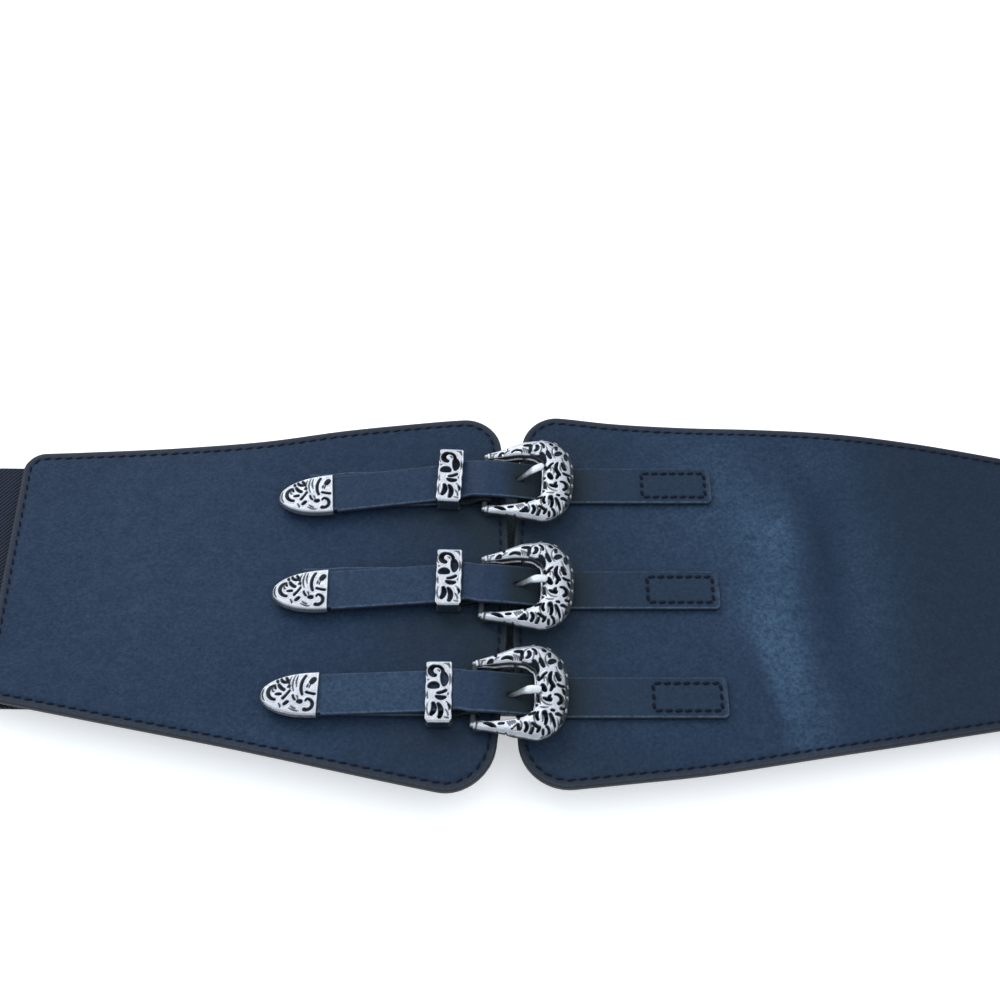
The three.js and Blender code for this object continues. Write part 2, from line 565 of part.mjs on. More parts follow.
function addProng(row) {
  const annulus = new THREE.Shape().absarc(0, BAR_HEIGHT, PRONG_RING, 0, 2 * Math.PI)
  annulus.holes.push(new THREE.Path().absarc(0, BAR_HEIGHT, EYE_INNER, 0, 2 * Math.PI))
  const ring = toSolid(sidePrism(annulus, 2.6, 5).translate(row.barX, row.chapeY, PANEL_TOP))
  const face = (side) => (u, v) => {
    const station = PRONG_LINE[Math.round(u * (PRONG_LINE.length - 1))]
    const fromBar = station.share * row.prongX
    const across = 2 * v - 1
    const round = side > 0 ? 1 - 0.4 * across ** 2 : 1
    const height = station.z + side * PRONG_HALF_HEIGHT * round
    return [row.barX + fromBar, prongY(row, fromBar) + station.half * across, PANEL_TOP + height]
  }
  const shaft = toSolid(wall(PRONG_LINE.length - 1, 2, face(1), face(-1)))
  addPiece(`${row.name}_prong`, toGeometry(ring.add(shaft)), SILVER)
}

function roundedBox(width, low, high, corner) {
  const half = width / 2
  const shape = new THREE.Shape()
  shape.moveTo(-half + corner, low)
  shape.absarc(half - corner, low + corner, corner, -Math.PI / 2, 0)
  shape.absarc(half - corner, high - corner, corner, 0, Math.PI / 2)
  shape.absarc(-half + corner, high - corner, corner, Math.PI / 2, Math.PI)
  shape.absarc(-half + corner, low + corner, corner, Math.PI, 1.5 * Math.PI)
  return shape
}

function addKeeper(row) {
  const CORNER_CUT = 0.4
  const ring = roundedBox(KEEPER_WIDTH, GAP, row.keeperTop, KEEPER_CORNER)
  const low = GAP + KEEPER_WALL - CORNER_CUT
  const inside = roundedBox(KEEPER_WIDTH - 2 * KEEPER_WALL, low, row.keeperTop - KEEPER_WALL, CORNER_CUT)
  ring.holes.push(new THREE.Path(inside.getPoints(2)))
  const loop = sidePrism(ring, KEEPER_LENGTH, 2).rotateZ(Math.PI / 2)
  const solid = pierce(toSolid(loop), KEEPER_SCROLLS, row.keeperTop - 2 * KEEPER_WALL, row.keeperTop + 1)
  const mesh = addPiece(`${row.name}_keeper`, toGeometry(solid), SILVER)
  mesh.position.set(row.keeperX, row.keeperY, PANEL_TOP)
  mesh.rotation.z = radians(row.keeperTilt)
}

// The tip is a pierced roof over a floor, hollow between them for the end of the strap.
function addTip(row) {
  const NOSE_HALF = 0.6
  const DOME = 0.4
  const ROOF_THICKNESS = 1
  const MOUTH_DEPTH = 2.4
  const shares = [1, 0.985, 0.93, 0.82, 0.66, 0.45, 0.2, 0]
  const steps = shares.length - 1
  const face = (height, dome, half, length) => (u, v) => {
    const share = shares[Math.round(u * steps)]
    const across = 2 * v - 1
    const width = Math.max(half * bullet(share), NOSE_HALF)
    const skew = TIP_SKEW * (across - 1) * (1 - share)
    return [skew - length * share, width * across, height + dome * (1 - across ** 2) * (1 - share ** 2)]
  }
  const roof = face(TIP_ROOF - DOME, DOME, TIP_HALF, TIP_LENGTH)
  const outer = wall(steps, 4, roof, face(TIP_FLOOR, 0, TIP_HALF, TIP_LENGTH))
  const inner = TIP_HALF - TIP_WALL
  const reach = TIP_LENGTH - TIP_WALL
  const ceiling = TIP_ROOF - ROOF_THICKNESS
  const floor = TIP_FLOOR + TIP_WALL
  const pocket = wall(steps, 1, face(ceiling, 0, inner, reach), face(floor, 0, inner, reach))
  const mouth = new THREE.BoxGeometry(MOUTH_DEPTH, 2 * inner, ceiling - floor)
    .translate(0, 0, (ceiling + floor) / 2)
  const shell = toSolid(outer).subtract(toSolid(pocket)).subtract(toSolid(mouth))
  const pierced = pierce(shell, TIP_SCROLLS, ceiling - GAP, TIP_ROOF + 1)
  const mesh = addPiece(`${row.name}_strap_tip`, toGeometry(pierced), SILVER)
  mesh.position.set(row.tipX, billetLie(row, row.tipX).y, PANEL_TOP)
  mesh.rotation.z = radians(row.tilt)
}

addPanel('left_panel', LEFT_EDGES, LEFT_FRONT, 8)
addPanel('right_panel', RIGHT_EDGES, RIGHT_FRONT, 12)
addBand()
for (const row of ROWS) {
  addBillet(row)
  addChape(row)
  addFrame(row)
  addProng(row)
  addKeeper(row)
  addTip(row)
}

// The origin is the middle of the belt's box, on the surface that it lies on.
belt.updateMatrixWorld(true)
const box = new THREE.Box3().setFromObject(belt, true)
const middle = box.getCenter(new THREE.Vector3())
belt.position.set(-middle.x, -middle.y, -box.min.z)

export default belt
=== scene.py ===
# %% [markdown]
# A wide hip belt with three western buckles. Two leather panels meet at the front, three straps
# fasten them, and an elastic band closes the loop behind. The packed solids give every place and
# size; this lesson builds finer surfaces round them, one piece at a time, all with numpy.

# %% Load the packed model
import math

import bpy
import numpy as np
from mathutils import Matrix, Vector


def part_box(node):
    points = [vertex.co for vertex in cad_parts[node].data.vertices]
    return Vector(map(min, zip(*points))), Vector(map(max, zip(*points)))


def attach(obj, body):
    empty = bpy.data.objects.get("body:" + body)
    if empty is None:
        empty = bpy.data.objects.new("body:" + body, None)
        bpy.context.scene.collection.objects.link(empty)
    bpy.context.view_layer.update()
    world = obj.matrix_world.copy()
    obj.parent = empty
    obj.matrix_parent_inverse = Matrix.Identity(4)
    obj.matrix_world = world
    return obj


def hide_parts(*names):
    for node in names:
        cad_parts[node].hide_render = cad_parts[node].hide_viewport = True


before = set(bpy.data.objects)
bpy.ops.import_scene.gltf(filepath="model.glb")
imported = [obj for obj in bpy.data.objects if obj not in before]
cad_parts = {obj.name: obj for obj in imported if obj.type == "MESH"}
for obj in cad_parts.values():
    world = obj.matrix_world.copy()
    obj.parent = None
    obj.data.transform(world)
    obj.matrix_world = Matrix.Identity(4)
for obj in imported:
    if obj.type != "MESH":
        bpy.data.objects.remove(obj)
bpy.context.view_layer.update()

MM = 0.001

# %% [markdown]
# All sizes below are millimetres from the middle of the belt's front, and the packed model has its
# origin a little beside that. The elastic band's outermost corner is known in both, so it gives the
# step from one to the other, and the script follows the solids if they ever move.

# %% Find the step between the drawing and the packed model
BAND_THICKNESS, BAND_WIDTH, BEND_RADIUS = 1.8, 89.0, 6.2
LEFT_BEND_X, RIGHT_BEND_X = -184.5, 189.0
BAND_LEFT_Y, BAND_RIGHT_Y = 8.9, 3.1
band_low, band_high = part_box("elastic_band")
SHIFT = np.array([
    band_low.x / MM - (LEFT_BEND_X - BEND_RADIUS - BAND_THICKNESS / 2),
    band_high.y / MM - (BAND_LEFT_Y + BAND_WIDTH / 2),
    0.0,
])
PANEL_TOP = 18.3
GAP = 0.3
print("step in mm:", SHIFT.round(3))

# %% [markdown]
# The camera comes early. It looks down at 58 degrees, straight from the front. A lens of 56 mm, 55
# centimetres away, fits how the belt's far edge shrinks in the picture.

# %% Camera
CAMERA_ELEVATION, CAMERA_DISTANCE = 58.0, 554.0
SENSOR_WIDTH, LENS = 36.0, 56.16
AIM = np.array([-4.0, 37.0, PANEL_TOP])
camera = bpy.data.objects.new("camera", bpy.data.cameras.new("camera"))
camera.data.sensor_width, camera.data.lens = SENSOR_WIDTH, LENS
camera.data.clip_start, camera.data.clip_end = 0.01, 20.0
slope = math.radians(CAMERA_ELEVATION)
back = np.array([0.0, -math.cos(slope), math.sin(slope)])
camera.location = (SHIFT + AIM + back * CAMERA_DISTANCE) * MM
camera.rotation_euler = (math.pi / 2 - slope, 0.0, 0.0)
bpy.context.scene.collection.objects.link(camera)
bpy.context.scene.camera = camera
print("camera at", [round(v, 4) for v in camera.location])

# %% [markdown]
# The photograph has soft light from beyond the belt, which puts a soft shadow on the near side of
# each strap. A large lamp stands there, a weaker one hangs nearly overhead, and a pale sky gives the
# metal something to mirror. The floor is plain, pale and wide, and glows a little, so that it stays
# white under the belt's own shadow.

# %% Light and floor
KEY_LIGHT = {"place": (-0.8, 1.3, 1.2), "size": 1.4, "energy": 20.0, "colour": (0.93, 0.97, 1.0)}
TOP_LIGHT = {"place": (0.4, -0.2, 1.3), "size": 1.7, "energy": 8.5, "colour": (1.0, 0.975, 0.94)}
SKY_COLOUR, SKY_STRENGTH = (0.80, 0.90, 1.0, 1.0), 0.78
FLOOR_HALF, FLOOR_COLOUR, FLOOR_GLOW = 3.0, (0.93, 0.93, 0.93, 1.0), 0.4


def area_light(name, place, size, energy, colour):
    """A square lamp that points from its place to the origin, in metres. Its two turns are the angles
    of that line: atan2 of its flat length and its fall, and atan2 of its two flat parts."""
    lamp = bpy.data.lights.new(name, "AREA")
    lamp.shape, lamp.size, lamp.energy, lamp.color = "SQUARE", size, energy, colour
    holder = bpy.data.objects.new(name, lamp)
    way = -np.array(place, float)
    flat = math.hypot(way[0], way[1])
    holder.location = place
    holder.rotation_euler = (math.atan2(flat, -way[2]), 0.0, math.atan2(way[1], way[0]) - math.pi / 2)
    bpy.context.scene.collection.objects.link(holder)


area_light("key_light", **KEY_LIGHT)
area_light("top_light", **TOP_LIGHT)
world = bpy.data.worlds.new("studio")
bpy.context.scene.world = world
world.use_nodes = True
world.node_tree.nodes["Background"].inputs["Color"].default_value = SKY_COLOUR
world.node_tree.nodes["Background"].inputs["Strength"].default_value = SKY_STRENGTH
bpy.context.scene.view_settings.view_transform = "Standard"
floor_mesh = bpy.data.meshes.new("floor")
floor_corners = [(x * FLOOR_HALF, y * FLOOR_HALF, 0) for x, y in ((-1, -1), (1, -1), (1, 1), (-1, 1))]
floor_mesh.from_pydata(floor_corners, [], [(0, 1, 2, 3)])
floor = bpy.data.objects.new("floor", floor_mesh)
bpy.context.scene.collection.objects.link(floor)
floor_paint = bpy.data.materials.new("pale_floor")
floor_paint.use_nodes = True
floor_shader = floor_paint.node_tree.nodes["Principled BSDF"]
floor_shader.inputs["Base Color"].default_value = FLOOR_COLOUR
floor_shader.inputs["Roughness"].default_value = 0.9
floor_shader.inputs["Emission Color"].default_value = (1.0, 1.0, 1.0, 1.0)
floor_shader.inputs["Emission Strength"].default_value = FLOOR_GLOW
floor_mesh.materials.append(floor_paint)
print("two lamps, a sky and a floor", 2 * FLOOR_HALF, "m wide")

# %% [markdown]
# Every surface here is a grid of points, and a grid needs few helpers: one lists its triangles, one
# reads a short table with a smooth curve, and the rest are curves and lines used again and again.
# Blender's own primitives aren't used, because a belt's surfaces follow their own tables.

# %% Grid helpers
def grid_faces(rows, columns, closed=False):
    """Two triangles for each cell of a grid whose points are counted row by row. They face the side
    that (row direction) x (column direction) points to. A closed grid joins its last row to its first."""
    i, j = np.meshgrid(np.arange(rows - 1 + closed), np.arange(columns - 1), indexing="ij")
    here, there = (i * columns + j).ravel(), ((i + 1) % rows * columns + j).ravel()
    return np.concatenate([
        np.stack([here, there, there + 1], 1),
        np.stack([here, there + 1, here + 1], 1),
    ])


def read_smooth(table, at):
    """Reads rows of (place, value) with a cubic between each two rows. The slope at a row is that of
    its neighbours' chord, so the curve has no corners."""
    places, values = np.array(table, float).T
    slopes = np.gradient(values, places)
    at = np.clip(at, places[0], places[-1])
    i = np.clip(np.searchsorted(places, at, side="right") - 1, 0, len(places) - 2)
    step = places[i + 1] - places[i]
    t = (at - places[i]) / step
    return (
        (2 * t**3 - 3 * t**2 + 1) * values[i] + (t**3 - 2 * t**2 + t) * step * slopes[i]
        + (3 * t**2 - 2 * t**3) * values[i + 1] + (t**3 - t**2) * step * slopes[i + 1]
    )


def ease(x, low, high):
    """0 below low, 1 above high, and 3t^2 - 2t^3 between them."""
    t = np.clip((x - low) / (high - low), 0, 1)
    return t * t * (3 - 2 * t)


def quarter_round(away, radius):
    """Height lost at a distance from a rounded edge: r - sqrt(r^2 - (r - away)^2), and 0 past r."""
    near = np.clip(radius - away, 0, radius)
    return radius - np.sqrt(radius**2 - near**2)


def bell(away, reach):
    """A bell curve exp(-(away / reach)^2): 1 in its middle and 0.37 at its reach."""
    return np.exp(-((away / reach) ** 2))


def travelled(line):
    """The way along a line up to each of its points: its pieces' lengths, summed up."""
    return np.concatenate([[0], np.cumsum(np.linalg.norm(np.diff(line, axis=0), axis=1))])


def read_line(line, length, at):
    """The points of a line of straight pieces at given ways along it."""
    return np.stack([np.interp(at, length, values) for values in line.T], 1)


def as_points(x, y, z):
    """Three arrays, stretched to one shape, as a list of points counted row by row."""
    return np.stack(np.broadcast_arrays(x, y, z), -1).reshape(-1, 3)


print("grid of 2 x 2 points has", len(grid_faces(2, 2)), "triangles")

# %% [markdown]
# A wall is two skins joined at their rims. Both skins share one list of triangles, so a hole that
# is cut in one is cut in the other, and each edge that only one triangle uses gets a strip down to
# the other skin. The result is always closed, whatever is cut out of it.

# %% Cut and close helpers
def cut_out(layers, faces, distance):
    """Keeps the part of a triangle mesh where distance is above zero. A triangle that the zero line
    crosses is cut along it, and a new point divides a crossed edge as the two distances do. Every
    layer has one row per point, and all of them are divided alike."""
    EDGE_SHARE = 0.04
    solid = distance > 0
    count = solid[faces].sum(1)
    crossed = faces[(count > 0) & (count < 3)]
    flags = solid[crossed]
    lone = flags.sum(1) == 1
    odd = np.argmax(flags == lone[:, None], axis=1)
    crossed = crossed[np.arange(len(crossed))[:, None], (odd[:, None] + np.arange(3)) % 3]
    ends = np.sort(np.concatenate([crossed[:, [0, 1]], crossed[:, [0, 2]]]), axis=1)
    edges, which = np.unique(ends, axis=0, return_inverse=True)
    which = which.reshape(-1) + len(distance)
    first, second = distance[edges[:, 0]], distance[edges[:, 1]]
    share = np.clip(first / (first - second), EDGE_SHARE, 1 - EDGE_SHARE)
    divided = []
    for layer in layers:
        weight = share.reshape(-1, *[1] * (layer.ndim - 1))
        between = layer[edges[:, 0]] * (1 - weight) + layer[edges[:, 1]] * weight
        divided.append(np.concatenate([layer, between]))
    a, b, c = crossed.T
    ab, ac = which[:len(crossed)], which[len(crossed):]
    kept = np.concatenate([
        faces[count == 3],
        np.stack([a, ab, ac], 1)[lone],
        np.stack([ab, b, c], 1)[~lone],
        np.stack([ab, c, ac], 1)[~lone],
    ])
    return divided, kept


def close_wall(upper, lower, faces):
    """Two skins with the same triangles become one closed wall: the lower skin is turned over, and a
    strip joins the skins along every edge that only one triangle uses."""
    count = len(upper)
    edges = np.concatenate([faces[:, [0, 1]], faces[:, [1, 2]], faces[:, [2, 0]]])
    code = edges.min(1).astype(np.int64) * count + edges.max(1)
    _, first, uses = np.unique(code, return_index=True, return_counts=True)
    i, j = edges[first[uses == 1]].T
    strip = np.concatenate([np.stack([j, i, i + count], 1), np.stack([j, i + count, j + count], 1)])
    return np.concatenate([upper, lower]), np.concatenate([faces, faces[:, ::-1] + count, strip])


def distance_to_line(points, line):
    """Distance from each point to the nearest place on a line of straight pieces. On each piece that
    place is the point's projection, held between the piece's two ends."""
    best = np.full(len(points), np.inf)
    for start, end in zip(line[:-1], line[1:]):
        along = end - start
        share = np.clip(((points - start) @ along) / max(along @ along, 1e-12), 0, 1)
        np.minimum(best, np.linalg.norm(points - start - share[:, None] * along, axis=1), out=best)
    return best


square = np.array([[0, 0, 0], [1, 0, 0], [1, 1, 0], [0, 1, 0]], float)
_, square_faces = close_wall(square, square - [0, 0, 1], np.array([[0, 1, 2], [0, 2, 3]]))
print("a closed square has", len(square_faces), "triangles")

# %% [markdown]
# Blender keeps a mesh as long lists: the points' coordinates, then three point numbers for each triangle.
# Numpy hands them over in one go with foreach_set, which is far quicker than adding one point after
# another. The same helper hangs the piece on the root body and gives it its material.


def add_piece(name, points, faces, material, attributes=None, sharp=50.0):
    """Puts arrays into a mesh: points in millimetres of the drawing, moved by SHIFT and scaled to
    metres. Points that no triangle uses are left out. An attribute has one number, or three, per
    point. Edges that bend by more than sharp degrees stay crisp."""
    used, faces = np.unique(faces, return_inverse=True)
    faces = faces.reshape(-1, 3)
    mesh = bpy.data.meshes.new(name)
    mesh.vertices.add(len(used))
    mesh.vertices.foreach_set("co", ((points[used] + SHIFT) * MM).astype(np.float32).ravel())
    mesh.loops.add(faces.size)
    mesh.loops.foreach_set("vertex_index", faces.astype(np.int32).ravel())
    mesh.polygons.add(len(faces))
    mesh.polygons.foreach_set("loop_start", np.arange(0, faces.size, 3, dtype=np.int32))
    mesh.update(calc_edges=True)
    for key, values in (attributes or {}).items():
        values = np.asarray(values, np.float32)[used]
        if values.ndim == 1:
            mesh.attributes.new(key, "FLOAT", "POINT").data.foreach_set("value", values)
        else:
            mesh.attributes.new(key, "FLOAT_VECTOR", "POINT").data.foreach_set("vector", values.ravel())
    mesh.validate()
    mesh.shade_smooth()
    mesh.set_sharp_from_angle(angle=math.radians(sharp))
    mesh.materials.append(material)
    piece = bpy.data.objects.new(name, mesh)
    bpy.context.scene.collection.objects.link(piece)
    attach(piece, "root")
    print(f"{name}: {len(faces)} triangles")
    return piece


# %% [markdown]
# A finish is a tree of nodes, and Blender has no short way to write one. The class below adds a
# node in one call and links whatever is given to its inputs, so that a finish reads like a recipe.
# Every pattern reads Object coordinates, in metres, or an attribute of the mesh.

# %% Node helpers
class Recipe:
    """A short way to write a node material: node() adds one node and sets its inputs, and an input
    that is another node's output is linked. sum() is one step of arithmetic, spread() maps one range
    to another in a straight line, and blend() mixes two colours by a share."""

    def __init__(self, name):
        self.material = bpy.data.materials.new(name)
        self.material.use_nodes = True
        self.tree = self.material.node_tree
        self.shader = self.tree.nodes["Principled BSDF"]
        self.place = self.node("ShaderNodeTexCoord").outputs["Object"]

    def node(self, kind, inputs=None, **settings):
        made = self.tree.nodes.new(kind)
        for key, value in settings.items():
            setattr(made, key, value)
        for key, value in (inputs or {}).items():
            self.put(made.inputs[key], value)
        return made

    def put(self, socket, value):
        if isinstance(value, bpy.types.NodeSocket):
            self.tree.links.new(value, socket)
        else:
            socket.default_value = value

    def attribute(self, name, output="Fac"):
        return self.node("ShaderNodeAttribute", attribute_name=name).outputs[output]

    def noise(self, scale, detail=3.0, roughness=0.5, place=None):
        return self.node("ShaderNodeTexNoise", {
            "Vector": place or self.place, "Scale": scale, "Detail": detail, "Roughness": roughness,
        }).outputs["Fac"]

    def sum(self, operation, a, b=0.0):
        return self.node("ShaderNodeMath", {0: a, 1: b}, operation=operation).outputs[0]

    def spread(self, value, from_low, from_high, to_low, to_high):
        return self.node("ShaderNodeMapRange", {
            "Value": value, "From Min": from_low, "From Max": from_high,
            "To Min": to_low, "To Max": to_high,
        }).outputs["Result"]

    def blend(self, share, a, b):
        mixed = self.node("ShaderNodeMix", data_type="RGBA")
        self.put(mixed.inputs["Factor"], share)
        self.put(mixed.inputs["A"], a)
        self.put(mixed.inputs["B"], b)
        return mixed.outputs["Result"]

    def bump(self, height, depth, strength=1.0, below=None):
        inputs = {"Height": height, "Distance": depth, "Strength": strength}
        if below is not None:
            inputs["Normal"] = below
        return self.node("ShaderNodeBump", inputs).outputs["Normal"]


print("recipes can use", len([word for word in vars(Recipe) if not word.startswith("_")]), "kinds of step")

# %% [markdown]
# Leather is a dark dye with soft mottling, a pebbled grain under a millimetre across and a broad, weak
# shine. Its cut edge is painted dark grey and its creases and stitch holes are darker. Light and shade are
# painted into its colour as well: painted highlights on the swellings, on the hanging straps and along the
# rims, and painted shade, some of it greyer, in holes, in the valley, under and round the castings and
# towards the right panel's end. Each of those places is an attribute on the mesh, from 0 to 1, so it
# follows the piece. The straps are cut from a slightly lighter hide than the panels.

# %% Leather
# The two specks belong to the grain. The next four colours are painted: a highlight, a greyer shade, the
# dark of creases and painted shade, and a highlight along the rims.
PALE_SPECK, DARK_SPECK = (0.034, 0.058, 0.098, 1), (0.005, 0.011, 0.024, 1)
HIGHLIGHT_PAINT, GREY_SHADE_PAINT = (0.044, 0.088, 0.150, 1), (0.0095, 0.0160, 0.0195, 1)
CREASE_AND_SHADE_DARK, RIM_HIGHLIGHT_PAINT = (0.004, 0.006, 0.012, 1), (0.075, 0.110, 0.175, 1)


def leather(name, dye, deep_dye, roughness, edge_paint):
    """Dyed leather: two noises mottle the dye, Voronoi cells of about 0.8 mm make the grain, and the
    attributes add a painted highlight, paint the cut edge, add a greyer painted shade, darken the creases
    and the painted shade, and add a painted highlight along the rims, one after another."""
    GRAIN_SCALE, SPECK_SCALE, MOTTLE_SCALE, CLOUD_SCALE = 1250.0, 780.0, 210.0, 28.0
    mix = Recipe(name)
    clouds = mix.noise(CLOUD_SCALE, 4.0, 0.6)
    mottle = mix.noise(MOTTLE_SCALE, 3.0, 0.6)
    grain = mix.node("ShaderNodeTexVoronoi", {"Vector": mix.place, "Scale": GRAIN_SCALE},
                     feature="F1").outputs["Distance"]
    fine = mix.noise(GRAIN_SCALE * 1.7, 2.0)
    share = mix.sum("ADD", mix.sum("MULTIPLY", clouds, 0.5), mix.sum("MULTIPLY", mottle, 0.5))
    colour = mix.blend(mix.spread(share, 0.35, 0.65, 0.15, 0.85), deep_dye, dye)
    specks = mix.noise(SPECK_SCALE, 4.0, 0.75)
    colour = mix.blend(mix.spread(specks, 0.50, 0.72, 0.0, 0.42), colour, PALE_SPECK)
    colour = mix.blend(mix.spread(specks, 0.46, 0.28, 0.0, 0.55), colour, DARK_SPECK)
    # From here on, light and shade are painted into the colour, each share read from an attribute.
    pull = mix.sum("MULTIPLY", mix.attribute("pull"), mix.spread(mottle, 0.3, 0.7, 0.75, 1.25))
    pull = mix.sum("MULTIPLY", pull, mix.spread(specks, 0.36, 0.64, 0.35, 1.65))
    colour = mix.blend(pull, colour, HIGHLIGHT_PAINT)
    colour = mix.blend(mix.attribute("edge"), colour, edge_paint)
    colour = mix.blend(mix.attribute("grime"), colour, GREY_SHADE_PAINT)
    colour = mix.blend(mix.sum("MULTIPLY", mix.attribute("crease"), 0.75), colour, CREASE_AND_SHADE_DARK)
    highlit_rim = mix.sum("MULTIPLY", mix.attribute("wear"), mix.spread(specks, 0.38, 0.62, 0.25, 0.85))
    colour = mix.blend(highlit_rim, colour, RIM_HIGHLIGHT_PAINT)
    mix.put(mix.shader.inputs["Base Color"], colour)
    uneven = mix.spread(mottle, 0.3, 0.7, roughness + 0.06, roughness - 0.06)
    mix.put(mix.shader.inputs["Roughness"], uneven)
    mix.shader.inputs["Specular IOR Level"].default_value = 0.10
    pebble = mix.sum("ADD", grain, mix.sum("MULTIPLY", fine, 0.5))
    normal = mix.bump(pebble, 0.00014, 0.75)
    normal = mix.bump(specks, 0.00022, 0.6, normal)
    mix.put(mix.shader.inputs["Normal"], mix.bump(mottle, 0.0003, 0.35, normal))
    return mix.material


panel_leather = leather(
    "panel_leather", dye=(0.0143, 0.0300, 0.0620, 1), deep_dye=(0.0100, 0.0225, 0.0480, 1),
    roughness=0.50, edge_paint=(0.032, 0.032, 0.032, 1))
strap_leather = leather(
    "strap_leather", dye=(0.0178, 0.0340, 0.0680, 1), deep_dye=(0.0135, 0.0270, 0.0545, 1),
    roughness=0.46, edge_paint=(0.024, 0.028, 0.036, 1))
print("leathers:", panel_leather.name, strap_leather.name)

# %% [markdown]
# The castings are a silver-coloured metal that was blackened and then rubbed, so the raised faces are
# bright and everything that lies low stays nearly black. One attribute says how low a point lies, and it
# also carries black painted shade on the sides of keepers and tips, at the arms' roots, on the upper bow's
# inner edge and along the prong's neck. Another, polish, says where it was rubbed smooth as a mirror, as on
# a keeper's side. Small scratches and cloudy tarnish change the roughness of the bright part.

# %% Silver
# The third colour is the black of tarnish in the hollows and of the painted shade.
BRIGHT_METAL, DULL_METAL, TARNISH_AND_SHADE_BLACK = (0.51, 0.52, 0.56, 1), (0.43, 0.44, 0.47, 1), (0.034, 0.037, 0.043, 1)


def antique_silver():
    """Bright metal where a point lies high, and black where it is tarnished in a hollow or carries painted
    shade, with cloudy and scratched shine. Where polish is 1 the roughness is a quarter of the rest."""
    mix = Recipe("antique_silver")
    clouds = mix.noise(420.0, 4.0, 0.65)
    scratches = mix.noise(2600.0, 2.0, 0.5, mix.node(
        "ShaderNodeMapping", {"Vector": mix.place, "Scale": (0.25, 1.0, 1.0)}).outputs["Vector"])
    recess = mix.sum("ADD", mix.attribute("recess"), mix.spread(clouds, 0.3, 0.75, -0.10, 0.16))
    recess = mix.spread(recess, 0.22, 0.85, 0.0, 1.0)
    bright = mix.blend(mix.spread(clouds, 0.35, 0.7, 0.0, 1.0), BRIGHT_METAL, DULL_METAL)
    mix.put(mix.shader.inputs["Base Color"], mix.blend(recess, bright, TARNISH_AND_SHADE_BLACK))
    mix.put(mix.shader.inputs["Metallic"], mix.spread(recess, 0.0, 1.0, 1.0, 0.35))
    rough = mix.sum("ADD", mix.spread(recess, 0.0, 1.0, 0.46, 0.65),
                    mix.spread(scratches, 0.3, 0.7, -0.06, 0.08))
    smooth = mix.spread(mix.attribute("polish"), 0.0, 1.0, 1.0, 0.25)
    mix.put(mix.shader.inputs["Roughness"], mix.sum("MULTIPLY", rough, smooth))
    marks = mix.sum("ADD", clouds, mix.sum("MULTIPLY", scratches, 0.4))
    mix.put(mix.shader.inputs["Normal"], mix.bump(marks, 0.00006, 0.6))
    return mix.material


silver = antique_silver()
print("metal:", silver.name)

# %% [markdown]
# Two more stuffs are textiles. The thread is waxed and twisted. The elastic is woven, with slanted
# ribs across the band, so its ribs have to follow the band round both of its ends. For that the band
# carries its place on the unrolled strip as an attribute, and the ribs are a wave over that place.

# %% Thread and elastic
THREAD_DARK, THREAD_LIGHT = (0.003, 0.005, 0.011, 1), (0.009, 0.013, 0.026, 1)
WEAVE_DARK, WEAVE_LIGHT = (0.0015, 0.002, 0.005, 1), (0.042, 0.050, 0.080, 1)
# On the next line the second colour is painted light, which lightens the band where it shows in the shaded
# gap between the panels.
WEAVE_FUZZ, WEAVE_LIGHT_PAINT = (0.014, 0.018, 0.028, 1), (0.095, 0.125, 0.138, 1)


def sewing_thread():
    """Waxed thread: near-black blue with a fine twist that is a wave along X and Y together."""
    mix = Recipe("sewing_thread")
    twist = mix.node("ShaderNodeTexWave", {"Vector": mix.place, "Scale": 900.0, "Distortion": 0.6},
                     bands_direction="DIAGONAL").outputs["Fac"]
    fuzz = mix.noise(3000.0)
    mix.put(mix.shader.inputs["Base Color"], mix.blend(fuzz, THREAD_DARK, THREAD_LIGHT))
    mix.shader.inputs["Roughness"].default_value = 0.7
    mix.shader.inputs["Specular IOR Level"].default_value = 0.08
    mix.put(mix.shader.inputs["Normal"], mix.bump(twist, 0.00008, 0.7))
    return mix.material


def ribbed_elastic():
    """Woven elastic: slanted ribs 1.1 mm apart across the band, crossed by fine threads along it. The
    attribute flat_place gives the place on the unrolled band in metres, and another attribute says where
    painted light lightens the band, in the shaded gap between the panels. Blender's wave repeats every 2 pi
    / 20 units at scale 1."""
    RIBS_PER_METRE, RIB_SLANT = 900.0, -42
    WAVE_UNIT = 20.0 / (2 * math.pi)
    mix = Recipe("ribbed_elastic")
    place = mix.attribute("flat_place", "Vector")
    turned = mix.node("ShaderNodeMapping", {
        "Vector": place, "Rotation": (0, 0, math.radians(RIB_SLANT))}).outputs["Vector"]
    ribs = mix.node("ShaderNodeTexWave", {
        "Vector": turned, "Scale": RIBS_PER_METRE / WAVE_UNIT, "Distortion": 1.3, "Detail": 2.0,
        "Detail Scale": 3.0}, bands_direction="X").outputs["Fac"]
    threads = mix.node("ShaderNodeTexWave", {
        "Vector": place, "Scale": 2.2 * RIBS_PER_METRE / WAVE_UNIT, "Distortion": 0.3,
    }, bands_direction="Y").outputs["Fac"]
    fuzz = mix.noise(1800.0, 3.0)
    share = mix.sum("MULTIPLY", ribs, mix.spread(threads, 0.0, 1.0, 0.65, 1.0))
    colour = mix.blend(share, WEAVE_DARK, WEAVE_LIGHT)
    colour = mix.blend(mix.sum("MULTIPLY", fuzz, 0.3), colour, WEAVE_FUZZ)
    mix.put(mix.shader.inputs["Base Color"], mix.blend(mix.attribute("grime"), colour, WEAVE_LIGHT_PAINT))
    mix.shader.inputs["Roughness"].default_value = 0.85
    mix.shader.inputs["Specular IOR Level"].default_value = 0.15
    mix.put(mix.shader.inputs["Normal"], mix.bump(share, 0.00025, 0.8))
    return mix.material


